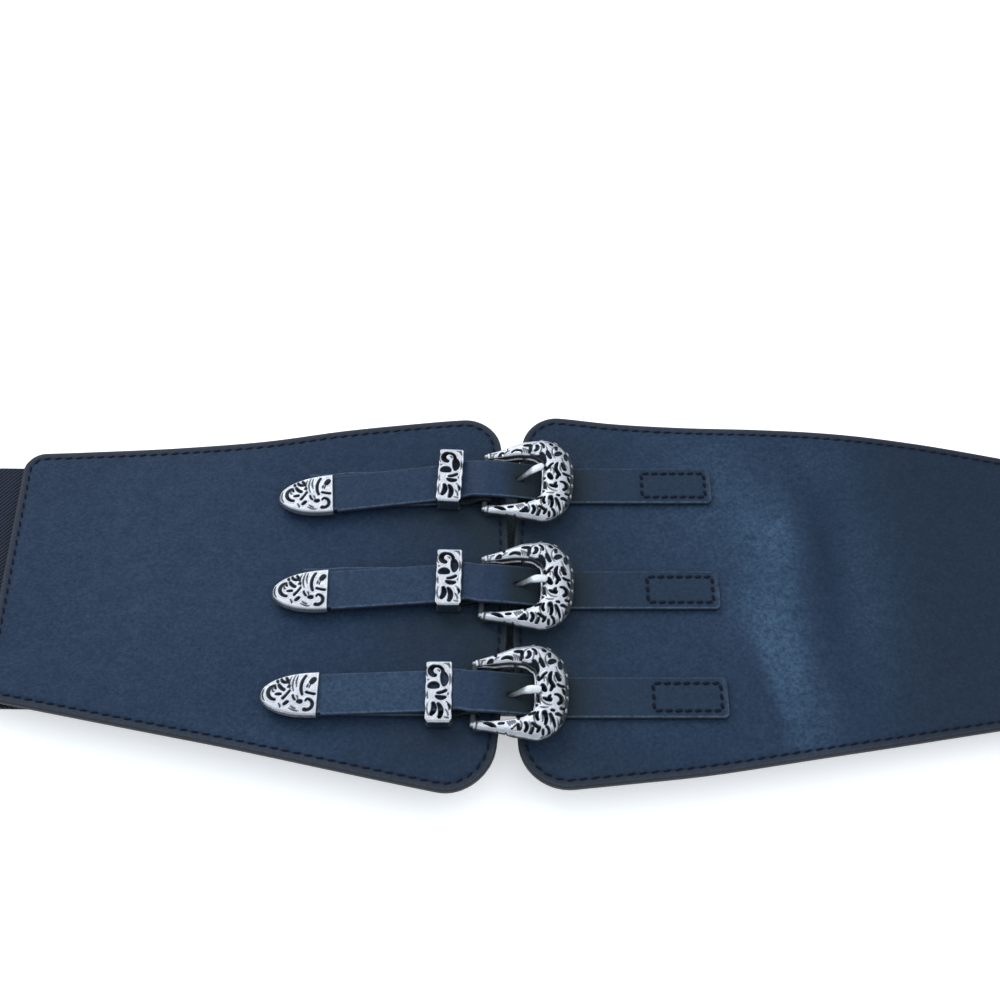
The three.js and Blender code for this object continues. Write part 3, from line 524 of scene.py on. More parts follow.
thread = sewing_thread()
elastic = ribbed_elastic()
print("textiles:", thread.name, elastic.name)

# %% [markdown]
# The two panels are stiff leather, nearly flat, crowned a little and lower at their outer ends. A
# panel is a grid: columns lie at growing distances from the bowed front edge, rows run from the
# bottom edge to the top edge, and both crowd together near the border, where the edge is rounded.

# %% Panel outline
# Each edge is a row of (x, y). The front edge is a parabola: x moves by fall times (y - its y)^2.
PANEL_THICKNESS, CROWN_RISE, FLAT_REACH = 2.4, 1.4, 85.0
PANEL_END_BASE = BAND_THICKNESS + 2 * BEND_RADIUS + GAP
BAND_LEFT_TUCK_X, BAND_RIGHT_TUCK_X = -162.0, 170.0
TOP_CORNER, BOTTOM_CORNER, END_CORNER = 12.5, 17.5, 7.5
PANELS = {
    "left_panel": {
        "top": [(-176, 57.8), (-150, 58.8), (-120, 60.0), (-90, 62.4), (-60, 67.2), (-35, 70.2),
                (-20, 71.7), (-1, 72.6)],
        "bottom": [(-176, -39.0), (-150, -44.5), (-120, -51.0), (-90, -57.4), (-60, -64.0), (-35, -69.4),
                   (-20, -72.4), (-1, -74.6)],
        "front": {"x": -0.9, "y": 8.0, "fall": 0.001}, "length": 176.0, "side": -1,
    },
    "right_panel": {
        "top": [(1, 73.9), (18, 72.6), (35, 70.4), (60, 68.6), (90, 67.6), (120, 65.9), (150, 61.7),
                (184, 54.5)],
        "bottom": [(1, -73.2), (18, -71.2), (35, -69.4), (60, -66.7), (90, -62.1), (120, -57.1),
                   (150, -51.9), (184, -46.3)],
        "front": {"x": 0.2, "y": -10.0, "fall": 0.00078}, "length": 184.0, "side": 1,
    },
}
# A swelling or hollow is (x, y, reach along x, reach along y, rise).
DENTS = [(101, 20, 13, 22, 0.8), (101, -36, 13, 20, 0.7), (115, 20, 8, 34, -0.5)]


def with_patches(start, table, x, y):
    """A start value plus a flat bell height exp(-(dx/rx)^2 - (dy/ry)^2) for each row of a table, which
    holds (x, y, rx, ry, height)."""
    return sum((height * np.exp(-(((x - middle_x) / reach_x) ** 2 + ((y - middle_y) / reach_y) ** 2))
                for middle_x, middle_y, reach_x, reach_y, height in table), start)


def panel_top(x, y):
    """Height of the panels' outer face: a base, a crown that eases out towards each end, and the
    swellings and hollows."""
    end = np.where(x < 0, -BAND_LEFT_TUCK_X, BAND_RIGHT_TUCK_X)
    crown = CROWN_RISE * (1 - ease(np.abs(x), FLAT_REACH, end))
    return with_patches(PANEL_END_BASE + PANEL_THICKNESS + crown, DENTS, x, y)


BORDER_STEPS = np.array([0.0, 0.07, 0.17, 0.32, 0.52, 0.8, 1.15, 1.6, 2.1, 2.7, 3.3])
TOP_READ_Y, BOTTOM_READ_Y = 66.0, -60.0


def panel_grid(panel, middle_step=1.55, rows_between=72):
    """Places x, y of the panel's grid. A column at a distance from the front edge runs from the bottom
    edge to the top edge, both drawn in by r - sqrt(r^2 - (r - away)^2) where a corner is rounded. The
    bow of the front edge fades out in a straight line towards the outer end."""
    length, side, front = panel["length"], panel["side"], panel["front"]
    fine = BORDER_STEPS[:7]
    ahead = np.concatenate([fine, np.linspace(BORDER_STEPS[7], BOTTOM_CORNER, 24)])
    between_count = int((length - BOTTOM_CORNER) / middle_step)
    between = np.linspace(BOTTOM_CORNER, length - END_CORNER, between_count)[1:-1]
    behind = length - np.concatenate([np.linspace(END_CORNER, BORDER_STEPS[7], 8), fine[::-1]])
    away = np.concatenate([ahead, between, behind])[:, None]

    def front_x(y):
        """The front edge's parabola."""
        return front["x"] + side * front["fall"] * (y - front["y"]) ** 2

    def x_at(y):
        """A column's x: its distance from the front edge, plus the part of that edge's bow it keeps."""
        return side * away + front_x(y) * (1 - away / length)

    end_cut = quarter_round(length - away, END_CORNER)
    top = read_smooth(panel["top"], x_at(TOP_READ_Y)) - quarter_round(away, TOP_CORNER)
    bottom = read_smooth(panel["bottom"], x_at(BOTTOM_READ_Y)) + quarter_round(away, BOTTOM_CORNER)
    top, bottom = top - end_cut, bottom + end_cut
    inner = np.linspace(0, 1, rows_between + 2)[1:-1]
    low, high = bottom + BORDER_STEPS, top - BORDER_STEPS[::-1]
    y = np.concatenate([low, low[:, -1:] + (high[:, :1] - low[:, -1:]) * inner, high], axis=1)
    x = x_at(y)
    return (x, y) if side > 0 else (x[::-1], y[::-1])


def outline_of(x, y):
    """The grid's border as one closed line: along the bottom, up the last column, back along the top
    and down the first column."""
    grid = np.stack([x, y], -1)
    return np.concatenate([grid[:, 0], grid[-1, 1:], grid[::-1, -1][1:], grid[0, ::-1][1:]])


outlines = {name: outline_of(*panel_grid(panel)) for name, panel in PANELS.items()}
for name, ring in outlines.items():
    print(name, "outline", round(float(np.linalg.norm(np.diff(ring, axis=0), axis=1).sum())), "mm long")

# %% [markdown]
# The seam runs along every edge, 2.7 mm in. The thread pulls the leather down into a shallow
# channel, and hand-sized waves keep the face from looking like a machined plate. The rounded rim
# carries the edge paint.

# %% Panel face
SEAM_INSET, SEAM_REACH, SEAM_DEPTH, WAVE_HEIGHT, WAVE_FADE = 2.7, 0.55, 0.16, 0.1, 12.0
PANEL_RIM, PANEL_UNDER_RIM = 0.85, 0.5


def soft_waves(x, y):
    """Slow waves of a hand-made face: three sines of different length and direction, 0.1 mm high."""
    return WAVE_HEIGHT * (
        np.sin(x / 17.0 + y / 31.0 + 0.6) * 0.5
        + np.sin(x / 9.0 - y / 13.0 + 2.1) * 0.3 + np.sin(x / 23.0 + y / 8.0 + 4.0) * 0.25
    )


def panel_face(x, y, away):
    """Height of the finished face at a distance from the outline: the panel's top, the slow waves,
    the seam's channel exp(-((away - inset) / reach)^2), and the rounded rim."""
    channel = SEAM_DEPTH * bell(away - SEAM_INSET, SEAM_REACH)
    fade = ease(away, 0.0, WAVE_FADE)
    return panel_top(x, y) + soft_waves(x, y) * fade - channel - quarter_round(away, PANEL_RIM)


print("face at the seam lies at", round(float(panel_face(-90.0, 0.0, SEAM_INSET)), 2), "mm")

# %% [markdown]
# Light and shade on the panels are painted into the leather's colour as soft patches. Painted highlights
# lie on the swellings, with wider and fainter ones elsewhere. Painted shade lies in the valley beside the
# swellings and under each buckle's bow. A greyer painted shade lies round the straps, keepers and castings,
# and both grow towards the right panel's end. Each is a sum of bells.

# %% Light, dark and grey places
# A painted highlight is (x, y, reach to the left, to the right and along y, slant, light). A place of
# greyer painted shade is (x, y, reach along x, reach along y, amount of shade), and a bow's painted shade
# has the same columns.
PAINTED_HIGHLIGHTS = [
    (93, 21, 13, 7, 15, 0.0, 0.49), (91, -6, 17, 8, 15, 0.0, 0.46),
    (88, -32, 3.2, 13, 19, -0.23, 0.55), (92, -22, 8, 7, 10, -0.1, 0.16),
    (72, 42, 26, 20, 26, 0.0, 0.26), (112, 54, 14, 10, 12, 0.0, 0.18),
    (121, -2, 7, 13, 38, 0.0, 0.20), (45, 0, 34, 40, 90, 0.0, 0.07),
    (-120, 5, 60, 50, 60, 0.0, 0.10), (-85, -60, 26, 26, 12, -0.6, 0.17),
    (98, -55, 15, 11, 12, 0.0, 0.17),
]
VALLEY = {"x": 109.0, "fall": 0.0042, "bend_y": 2, "reach_x": 5.0, "y": 15, "reach_y": 34}
END_SHADE, END_SHADE_FROM, END_SHADE_TO = 0.45, 118, 150
GREY_PLACES = [
    (3, -2, 28, 60, 0.60), (-9, 24, 8, 8, 0.35), (-10, -26, 8, 8, 0.30), (-33, -18, 12, 10, 0.28),
    (-34, 30, 12, 8, 0.30), (-38, -58, 16, 10, 0.20), (30, 57, 20, 8, 0.22), (37, -64, 20, 8, 0.20),
    (-20, 30.5, 9, 5, 0.40), (-20, -11, 9, 5, 0.35), (-23, -53, 9, 5, 0.28),
]
END_GREY, END_GREY_FROM, END_GREY_TO = 0.3, 95, 140
BOW_SHADES = [(14.0, 42.3, 8.5, 13, 0.25), (13.0, 0.1, 8.5, 13, 0.25), (10.4, -39.8, 8.5, 13, 0.25)]


def pull_up(x, y):
    """How much painted highlight lightens the panels. Each patch is a bell in both directions, with its own
    reach on the left and on the right, and leans by slant along y."""
    light = np.zeros(np.shape(x))
    for middle_x, middle_y, left, right, reach, slant, brightness in PAINTED_HIGHLIGHTS:
        along = y - middle_y
        aside = x - middle_x - slant * along
        aside = aside / np.where(aside < 0, left, right)
        light = light + brightness * np.exp(-(aside**2) - (along / reach) ** 2)
    return light


def valley(x, y):
    """The painted shade of the valley beside the swellings: a bell round a line that bends back as fall
    times y^2, and a painted shade that eases in towards the right panel's end."""
    line_x = VALLEY["x"] - VALLEY["fall"] * (y - VALLEY["bend_y"]) ** 2
    away = ((x - line_x) / VALLEY["reach_x"]) ** 2 + ((y - VALLEY["y"]) / VALLEY["reach_y"]) ** 2
    return np.exp(-away) + END_SHADE * ease(x, END_SHADE_FROM, END_SHADE_TO)


def grime_at(x, y):
    """How much greyer painted shade the panels get: a bell at each place near the straps, keepers and
    castings, and more towards the right panel's end."""
    towards_end = END_GREY * ease(x, END_GREY_FROM, END_GREY_TO)
    return np.clip(with_patches(towards_end, GREY_PLACES, x, y), 0, 0.95)


print("patches:", len(PAINTED_HIGHLIGHTS), "light,", len(GREY_PLACES), "grey,", len(BOW_SHADES), "dark")

# %% [markdown]
# Now each panel is built: its face and its underside over the same grid, closed along the border. On the
# real belt two layers are glued and their cut edge is painted as one, so one closed wall with an edge
# attribute shows the same. A thin painted highlight runs along the rim.

# %% Panels
RIM_SHADE, RIM_SHADE_FROM, RIM_SHADE_TO = 0.70, 1.0, 2.9
SEAM_SHADE, SEAM_SHADE_REACH, VALLEY_SHADE = 0.8, 0.45, 0.25
# The rim's painted highlight: its strength, how far in from the edge it lies, and its reach.
RIM_HIGHLIGHT_SHARE, RIM_HIGHLIGHT_INSET, RIM_HIGHLIGHT_REACH = 0.22, 0.75, 0.3


def add_panel(name, panel):
    """One panel as a closed wall. Its attributes are functions of the place and of the distance to the
    outline: the edge paint eases out, and the dark seam and the rim's painted highlight are bells exp(-(d /
    reach)^2). The painted shade, highlights and greyer shade come from the patches."""
    x, y = panel_grid(panel)
    place = np.stack([x.ravel(), y.ravel()], 1)
    away = distance_to_line(place, np.concatenate([outlines[name], outlines[name][:1]]))
    base = panel_top(*place.T) - PANEL_THICKNESS + quarter_round(away, PANEL_UNDER_RIM)
    upper = np.column_stack([place, panel_face(*place.T, away)])
    lower = np.column_stack([place, base])
    points, faces = close_wall(upper, lower, grid_faces(*x.shape))
    zero = np.zeros(len(place))
    rim_shade = RIM_SHADE * (1 - ease(away, RIM_SHADE_FROM, RIM_SHADE_TO))
    edge_above = np.maximum(1 - ease(away, 0.12, 0.6), rim_shade)
    edge_below = 1 - ease(away, 0.05, 0.4)
    seam = SEAM_SHADE * bell(away - SEAM_INSET, SEAM_SHADE_REACH)
    shade = seam + VALLEY_SHADE * valley(*place.T) + with_patches(0, BOW_SHADES, *place.T)
    wear = bell(away - RIM_HIGHLIGHT_INSET, RIM_HIGHLIGHT_REACH)
    grime = grime_at(*place.T)
    piece = add_piece(name + "_leather", points, faces, panel_leather, {
        "edge": np.concatenate([edge_above, edge_below]),
        "crease": np.concatenate([np.clip(shade, 0, 1), zero]),
        "wear": RIM_HIGHLIGHT_SHARE * np.concatenate([wear, zero]),
        "pull": np.concatenate([pull_up(*place.T), zero]),
        "grime": np.concatenate([grime, grime]),
    })
    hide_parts(name)


for name, panel in PANELS.items():
    add_panel(name, panel)

# %% [markdown]
# Stitches are real threads: each is a short tube that rises out of one hole and dives into the
# next, a little across the seam's line. One small tube is computed once, and all the stitches of
# a piece are its copies in one array, turned and placed by numpy.

# %% Stitches
STITCH_PITCH, STITCH_LENGTH, STITCH_RADIUS, STITCH_SLANT = 3.85, 2.9, 0.40, 12.0


def walk(line, pitch):
    """Points at equal steps along a line, and the direction there: the line's length is summed up,
    and both coordinates are read at the middles of equal shares of it."""
    length = travelled(line)
    count = max(int(round(length[-1] / pitch)), 1)
    at = (np.arange(count) + 0.5) * length[-1] / count
    run, rise = (read_line(line, length, at + 0.4) - read_line(line, length, at - 0.4)).T
    return read_line(line, length, at), np.arctan2(rise, run)


def inset_line(line, inset):
    """A closed line moved inwards: each point goes along the inward normal, which is the direction of
    its neighbours' chord turned by a quarter to the left."""
    chord = np.roll(line, -1, axis=0) - np.roll(line, 1, axis=0)
    length = np.maximum(np.linalg.norm(chord, axis=1), 1e-9)
    normal = np.stack([-chord[:, 1], chord[:, 0]], 1) / length[:, None]
    return line + normal * inset


def tube_faces(rings, sides):
    """Triangles of a closed tube. Its points are counted ring by ring, then come the two end points:
    two triangles for each cell between two rings, and a fan at each end."""
    ring, side = np.meshgrid(np.arange(rings - 1), np.arange(sides), indexing="ij")
    a, b = (ring * sides + side).ravel(), (ring * sides + (side + 1) % sides).ravel()
    edge, far = np.arange(sides), (rings - 1) * sides
    next_edge = (edge + 1) % sides
    first = np.full(sides, rings * sides)
    return np.concatenate([
        np.stack([a, a + sides, b + sides], 1), np.stack([a, b + sides, b], 1),
        np.stack([first, edge, next_edge], 1), np.stack([first + 1, far + next_edge, far + edge], 1),
    ])


def stitch_shape():
    """One stitch along X: a tube of 6 sides on 7 rings, closed by a point at each end. Its middle line
    is z = top (1 - (2x/L)^4) - sink."""
    RINGS, SIDES, TOP, SINK, END_REACH, END_SINK = 7, 6, 0.34, 0.3, 0.15, 0.1
    s = np.linspace(-1, 1, RINGS)
    radius = STITCH_RADIUS * np.sqrt(np.clip(1 - 0.55 * s**4, 0, 1))
    angle = np.arange(SIDES) * 2 * np.pi / SIDES
    x = np.repeat(s * STITCH_LENGTH / 2, SIDES)
    y = (radius[:, None] * np.cos(angle)).ravel()
    z = ((TOP * (1 - s**4) - SINK)[:, None] + radius[:, None] * np.sin(angle)).ravel()
    end = STITCH_LENGTH / 2 + END_REACH
    ends = np.array([[-end, 0, -SINK - END_SINK], [end, 0, -SINK - END_SINK]])
    return np.concatenate([np.column_stack([x, y, z]), ends]), tube_faces(RINGS, SIDES)[:, ::-1]


def add_stitches(name, spots, angles, height, size=(1, 1, 1)):
    """Copies of the stitch at the spots: each is scaled by size, turned by its angle plus the slant
    and lifted to the face's height there."""
    shape, faces = stitch_shape()
    shape = shape * size
    turn = angles + math.radians(STITCH_SLANT)
    cos, sin = np.cos(turn)[:, None], np.sin(turn)[:, None]
    x = spots[:, :1] + shape[:, 0] * cos - shape[:, 1] * sin
    y = spots[:, 1:] + shape[:, 0] * sin + shape[:, 1] * cos
    z = height[:, None] + shape[:, 2]
    points = as_points(x, y, z)
    copies = (faces + np.arange(len(spots))[:, None, None] * len(shape)).reshape(-1, 3)
    return add_piece(name, points, copies, thread, sharp=80.0)


for name, panel in PANELS.items():
    ring = np.concatenate([outlines[name], outlines[name][:1]])
    even, _ = walk(ring, 0.6)
    seam = inset_line(even, SEAM_INSET)
    seam = seam[distance_to_line(seam, ring) > SEAM_INSET - 0.12]
    spots, angles = walk(np.concatenate([seam, seam[:1]]), STITCH_PITCH)
    height = panel_face(spots[:, 0], spots[:, 1], np.full(len(spots), SEAM_INSET))
    add_stitches(name + "_stitches", spots, angles, height)
    print(name, "has", len(spots), "stitches")

# %% [markdown]
# The elastic band is one strip that turns round at both ends and closes the loop along the surface
# that the belt lies on. Its path is a straight stretch, a half circle, a long straight stretch,
# another half circle and a short one, and each point keeps its place on the unrolled band for the
# ribs.

# %% Elastic band
def band_path(straight_steps=64, bend_steps=20):
    """Middle line of the band from the side and the direction that faces outwards, at stations: out
    from under the left panel, round the left end, along the surface and up round the right end."""
    middle = BAND_THICKNESS / 2 + BEND_RADIUS
    left = np.linspace(90, 270, bend_steps)
    right = np.linspace(270, 450, bend_steps)
    x = np.concatenate([
        np.linspace(BAND_LEFT_TUCK_X, LEFT_BEND_X, 8)[:-1], np.full(bend_steps, LEFT_BEND_X),
        np.linspace(LEFT_BEND_X, RIGHT_BEND_X, straight_steps)[1:-1], np.full(bend_steps, RIGHT_BEND_X),
        np.linspace(RIGHT_BEND_X, BAND_RIGHT_TUCK_X, 8)[1:],
    ])
    angle = np.radians(np.concatenate([
        np.full(7, 90.0), left, np.full(straight_steps - 2, 270.0), right, np.full(7, 450.0),
    ]))
    line = np.stack([x + BEND_RADIUS * np.cos(angle), middle + BEND_RADIUS * np.sin(angle)], 1)
    return line, np.stack([np.cos(angle), np.sin(angle)], 1)


# The second and third values are the strength and the reach of the painted light on the band in the gap
# between the panels.
BAND_RIM, GAP_LIGHT_PAINT, SEAT_REACH = 0.5, 0.9, 9.0


def add_band():
    """The strip: across it the two skins draw together by r - sqrt(r^2 - (r - away)^2) at each edge.
    Painted light lightens the band where it shows in the gap between the panels, a bell exp(-(x /
    reach)^2)."""
    line, out = band_path()
    length = travelled(line)
    across = np.concatenate([[0, 0.002, 0.005], np.linspace(0.01, 0.99, 37), [0.995, 0.998, 1]])
    rim = quarter_round(np.minimum(across, 1 - across) * BAND_WIDTH, BAND_RIM)
    climb = (BAND_RIGHT_Y - BAND_LEFT_Y) * (line[:, 0] - LEFT_BEND_X) / (RIGHT_BEND_X - LEFT_BEND_X)
    y = (BAND_LEFT_Y + climb)[:, None] + BAND_WIDTH * (across - 0.5)
    skins = []
    for side in (1, -1):
        reach = side * (BAND_THICKNESS / 2 - rim)
        x = line[:, :1] + out[:, :1] * reach
        z = line[:, 1:] + out[:, 1:] * reach
        skins.append(as_points(x, y, z))
    faces = grid_faces(len(line), len(across))[:, ::-1]
    points, faces = close_wall(skins[0], skins[1], faces)
    along, over = np.repeat(length, len(across)), np.tile(across * BAND_WIDTH, len(length))
    flat = np.stack([along, over, np.zeros(y.size)], 1) * MM
    piece = add_piece("elastic_band_woven", points, faces, elastic, {
        "flat_place": np.concatenate([flat, flat]),
        "grime": GAP_LIGHT_PAINT * bell(points[:, 0], SEAT_REACH),
    })
    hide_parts("elastic_band")
    return piece, length[-1]


band_piece, band_length = add_band()
print("band is", round(band_length), "mm long unrolled")

# %% [markdown]
# Each of the three rows has its own small turns and offsets, as the buckles in the photograph lie
# a little unevenly. The numbers say where the row's bar, keeper and tip lie, and how its strap hangs.

# %% Rows
# Each row also says how much painted highlight lightens its strap where it hangs off, more on the lower
# rows.
ROWS = {
    "top": {
        "y": 42.0, "tilt": 7.2, "hang_x": -16.2, "left_y": 42.9, "tip_x": -62.4, "pull": 0.03,
        "frame_y": 42.3, "frame_tilt": -2.5, "bar_x": -9.1, "chape_y": 41.2, "chape_tilt": 1.4,
        "keeper_x": -21.6, "keeper_y": 43.2, "keeper_top": 7.4, "keeper_tilt": -3.0,
        "prong_x": 19.8, "prong_y": 45.5,
    },
    "middle": {
        "y": -0.2, "tilt": 4.1, "hang_x": -17.1, "left_y": 1.6, "tip_x": -62.0, "pull": 0.12,
        "frame_y": 0.1, "frame_tilt": -2.5, "bar_x": -10.0, "chape_y": 1.1, "chape_tilt": 0.0,
        "keeper_x": -21.4, "keeper_y": 2.4, "keeper_top": 6.7, "keeper_tilt": -1.0,
        "prong_x": 21.2, "prong_y": 0.3,
    },
    "bottom": {
        "y": -40.3, "tilt": 2.0, "hang_x": -19.5, "left_y": -38.8, "tip_x": -63.0, "pull": 0.26,
        "frame_y": -39.8, "frame_tilt": -1.6, "bar_x": -12.6, "chape_y": -40.2, "chape_tilt": -0.8,
        "keeper_x": -24.0, "keeper_y": -39.9, "keeper_top": 6.0, "keeper_tilt": 0.0,
        "prong_x": 21.2, "prong_y": -40.7,
    },
}
STRAP_WIDTH, BILLET_THICKNESS, CHAPE_THICKNESS = 14.7, 1.6, 1.2
CHAPE_FLOOR = 1.3
BILLET_FLOOR = CHAPE_FLOOR + CHAPE_THICKNESS + GAP
BILLET_END_X, BILLET_CORNER, CHAPE_END_X = 71.0, 2.0, -72.0
BAR_RADIUS, BAR_HEIGHT = 1.0, 2.8
print("rows:", list(ROWS))


def turn_about(points, tilt, place):
    """Turns points about Z by tilt degrees and moves them to a place."""
    a = math.radians(tilt)
    turned = points @ np.array([[math.cos(a), math.sin(a), 0], [-math.sin(a), math.cos(a), 0], [0, 0, 1]])
    return turned + np.array(place)


# %% [markdown]
# A billet is the long strap of a row. It is sewn to the right panel, rises under the buckle's bow
# and over its bar, goes through the keeper and hangs off at a small angle to its metal tip. Its
# grid follows that path in plan, and its floor comes from a table of heights beside the bar.

# %% Billet straps
# BILLET_HUMP is the height of the strap's underside over the panel, as (x from the bar, height).
BOX_START_X, BOX_END_X, BOX_HALF = 46.4, 68.7, 4.9
BILLET_HUMP = [
    (-13, BILLET_FLOOR), (-10, 3.1), (-7.5, 3.6), (-3.6, 4.95), (0, 5.65), (3, 5.45), (6, 5.0),
    (10, 4.25), (14, 3.4), (18, 2.5), (22, 1.6), (25, 0.85), (28.5, GAP),
]
SKIVED_HALF, SKIVED_LENGTH, SKIVED_SHARE = 6.65, 16.8, 0.86
HOLE_X, HOLE_LENGTH, HOLE_WIDTH, HOLE_DEPTH = 12.3, 3.0, 2.1, 0.35
PRONG_SWING, PRONG_BEND, PRONG_BEND_X, PRONG_BEND_REACH = 1.6, 0.7, 0.7, 3.2
BILLET_RIM_STEPS = np.array([0.0, 0.04, 0.1, 0.18, 0.3, 0.45, 0.65, 0.95, 1.5])
STRAP_RIM, EDGE_LINE_INSET, EDGE_LINE_DEPTH, BOX_DEPTH = 0.5, 1.25, 0.05, 0.13


def bullet(share):
    """Half width of a pointed end, as a share: (1 - s^2.4)^0.55."""
    return (1 - np.minimum(share, 1) ** 2.4) ** 0.55


def billet_lie(row, x):
    """The strap's middle line in plan and its turn: straight as far as the bar, eased over to the
    hanging line between the bar and hang_x."""
    turned = 1 - ease(x, row["hang_x"], row["bar_x"])
    slope = math.tan(math.radians(row["tilt"]))
    hung = row["left_y"] - slope * (row["hang_x"] - x)
    straight = row["y"] * (1 - turned) + row["left_y"] * turned
    return np.where(x < row["hang_x"], hung, straight), math.radians(row["tilt"]) * turned


def bar_x_at(row, y):
    """Where the leaning bar of a row's buckle lies at a height y of the drawing."""
    return row["bar_x"] - math.tan(math.radians(row["frame_tilt"])) * (y - row["frame_y"])


def billet_floor(row, x, y):
    """Height of the strap's underside: flat over the chape, the hump over the bar, then just above the
    panel."""
    from_bar = x - bar_x_at(row, y)
    hump = PANEL_TOP + read_smooth(BILLET_HUMP, from_bar)
    return np.where(from_bar <= BILLET_HUMP[0][0], PANEL_TOP + BILLET_FLOOR,
                    np.where(from_bar >= BILLET_HUMP[-1][0], panel_top(x, y) + GAP, hump))


def prong_y(row, from_bar):
    """The prong's line in plan swings from the chape's middle to its own end as (x / end)^1.6, and
    its neck bends a little towards -Y, a bell whose middle lies just past the strap's hole."""
    share = np.clip(from_bar / row["prong_x"], 0, 1) ** PRONG_SWING
    bend = PRONG_BEND * bell(from_bar - HOLE_X - PRONG_BEND_X, PRONG_BEND_REACH)
    return row["chape_y"] + (row["prong_y"] - row["chape_y"]) * share - bend


def billet_plan(row):
    """The strap's grid: x along it, closer where it bends and at its rounded end, the half width there,
    and the places across it, which crowd together at both edges."""
    start, tip_x, rise_x = row["tip_x"] - SKIVED_LENGTH * SKIVED_SHARE, row["tip_x"], row["bar_x"] + 19
    x = np.concatenate([
        np.linspace(start, tip_x + 0.3, 20), np.linspace(tip_x + 0.5, row["hang_x"], 48)[:-1],
        np.linspace(row["hang_x"], rise_x, 84)[:-1],
        np.linspace(rise_x, BILLET_END_X - BILLET_CORNER, 60)[:-1],
        BILLET_END_X - BILLET_CORNER * (1 - np.sin(np.linspace(0, np.pi / 2, 12))),
    ])
    half = np.full(len(x), STRAP_WIDTH / 2)
    tipped = x <= tip_x + 0.4
    pointed = SKIVED_HALF * bullet(np.clip((tip_x - x[tipped]) / SKIVED_LENGTH, 0, 1))
    half[tipped] = np.minimum(pointed, SKIVED_HALF)
    half = (half - quarter_round(BILLET_END_X - x, BILLET_CORNER))[:, None]
    rim = BILLET_RIM_STEPS
    inner = half - rim[-1]
    middle = -inner + 2 * inner * np.linspace(0, 1, 26)[1:-1]
    return x, half, np.concatenate([-half + rim, middle, half - rim[::-1]], axis=1)


def billet_marks(row, upper, away, hole, box, flat):
    """The billet's attributes: dark along the seams, painted shade in the hole, at the hump's foot and
    under the keeper, a greyer painted shade under the bow and less so past it, a painted highlight where it
    hangs off, and a painted highlight along its rims, most along the one that faces -Y, towards the camera,
    and at the sewn end. Each is a bell or an ease of the distance to its place."""
    from_bar = upper[:, 0] - row["bar_x"]
    grime = 0.9 * ease(from_bar, 4, 12) * (1 - 0.75 * ease(from_bar, 28, 46))
    pull = row["pull"] * (1 - ease(from_bar, -12, -3))
    crease = (
        np.exp(-np.clip(hole, 0, None) / 0.35) + 0.35 * bell(away - EDGE_LINE_INSET, 0.2)
        + 0.65 * bell(box, 0.42) + 0.3 * bell(from_bar - 23.5, 6)
        + 0.6 * np.exp(-(((upper[:, 0] - row["keeper_x"]) / 3.4) ** 6))
    )
    crease = np.clip(crease, 0, 1)
    near_side = np.where(flat[:, 1] < 0, 1.0, 0.45)
    wear = near_side * bell(away - 0.38, 0.26)
    wear = np.maximum(wear, 0.35 * bell(BILLET_END_X - flat[:, 0] - 1.1, 0.8))
    return {
        "edge": np.concatenate([1 - ease(away, 0.04, 0.24), 1 - ease(away, 0.02, 0.3)]),
        "crease": np.concatenate([crease, crease * 0]), "wear": np.concatenate([wear, wear * 0]),
        "grime": np.concatenate([grime, grime]), "pull": np.concatenate([pull, pull]),
        "flat_place": np.concatenate([flat, flat]) * MM,
    }


def add_billet(name, row):
    """One billet. Its face is the floor plus the thickness, less a rounded rim, a pressed line along
    the edge, the box seam's channel and a funnel round the hole, each a bell or a falling
    exponential of the distance to it. A small sum of sines keeps it from lying too evenly."""
    x, half, across = billet_plan(row)
    y, angle = billet_lie(row, x)
    px = x[:, None] - np.sin(angle)[:, None] * across
    py = y[:, None] + np.cos(angle)[:, None] * across
    away = np.minimum(half - np.abs(across), (BILLET_END_X - x)[:, None] + 0 * across)
    floor_z = billet_floor(row, x[:, None] + 0 * px, py)
    sag = 0.07 * np.sin(x[:, None] / 5.1 + 1.3) * np.cos(across / 5.0) + 0.05 * np.sin(x[:, None] / 2.3)
    crown = 0.12 * (1 - (across / np.maximum(half, 1e-6)) ** 2)
    line = EDGE_LINE_DEPTH * bell(away - EDGE_LINE_INSET, 0.22)
    box_x = np.abs(x[:, None] - (BOX_START_X + BOX_END_X) / 2) - (BOX_END_X - BOX_START_X) / 2
    box = np.abs(np.maximum(box_x, np.abs(across) - BOX_HALF))
    line = line + BOX_DEPTH * bell(box, 0.5)
    uneven = np.clip(sag * 0.5 + crown - 0.1, -0.12, 0.02)
    top = floor_z + BILLET_THICKNESS - quarter_round(away, STRAP_RIM) + uneven - line
    base = floor_z + quarter_round(away, STRAP_RIM * 0.8)
    hole_x = px - (row["bar_x"] + HOLE_X)
    hole = np.hypot(hole_x, (py - prong_y(row, HOLE_X)) * HOLE_LENGTH / HOLE_WIDTH) - HOLE_LENGTH / 2
    top = top - HOLE_DEPTH * np.exp(-np.clip(hole, 0, None) / 0.5)
    upper, lower, flat = as_points(px, py, top), as_points(px, py, base), as_points(x[:, None], across, 0)
    layers = [upper, lower, away.ravel(), hole.ravel(), box.ravel(), flat]
    layers, faces = cut_out(layers, grid_faces(*px.shape), hole.ravel())
    upper, lower, away, hole, box, flat = layers
    points, faces = close_wall(upper, lower, faces)
    marks = billet_marks(row, upper, away, hole, box, flat)
    piece = add_piece(name + "_billet_leather", points, faces, strap_leather, marks)
    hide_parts(name + "_billet_strap")
    return piece, float(BILLET_END_X - x[0])


billets = {name: add_billet(name, row) for name, row in ROWS.items()}
print("billets are", [round(length) for _, length in billets.values()], "mm long")

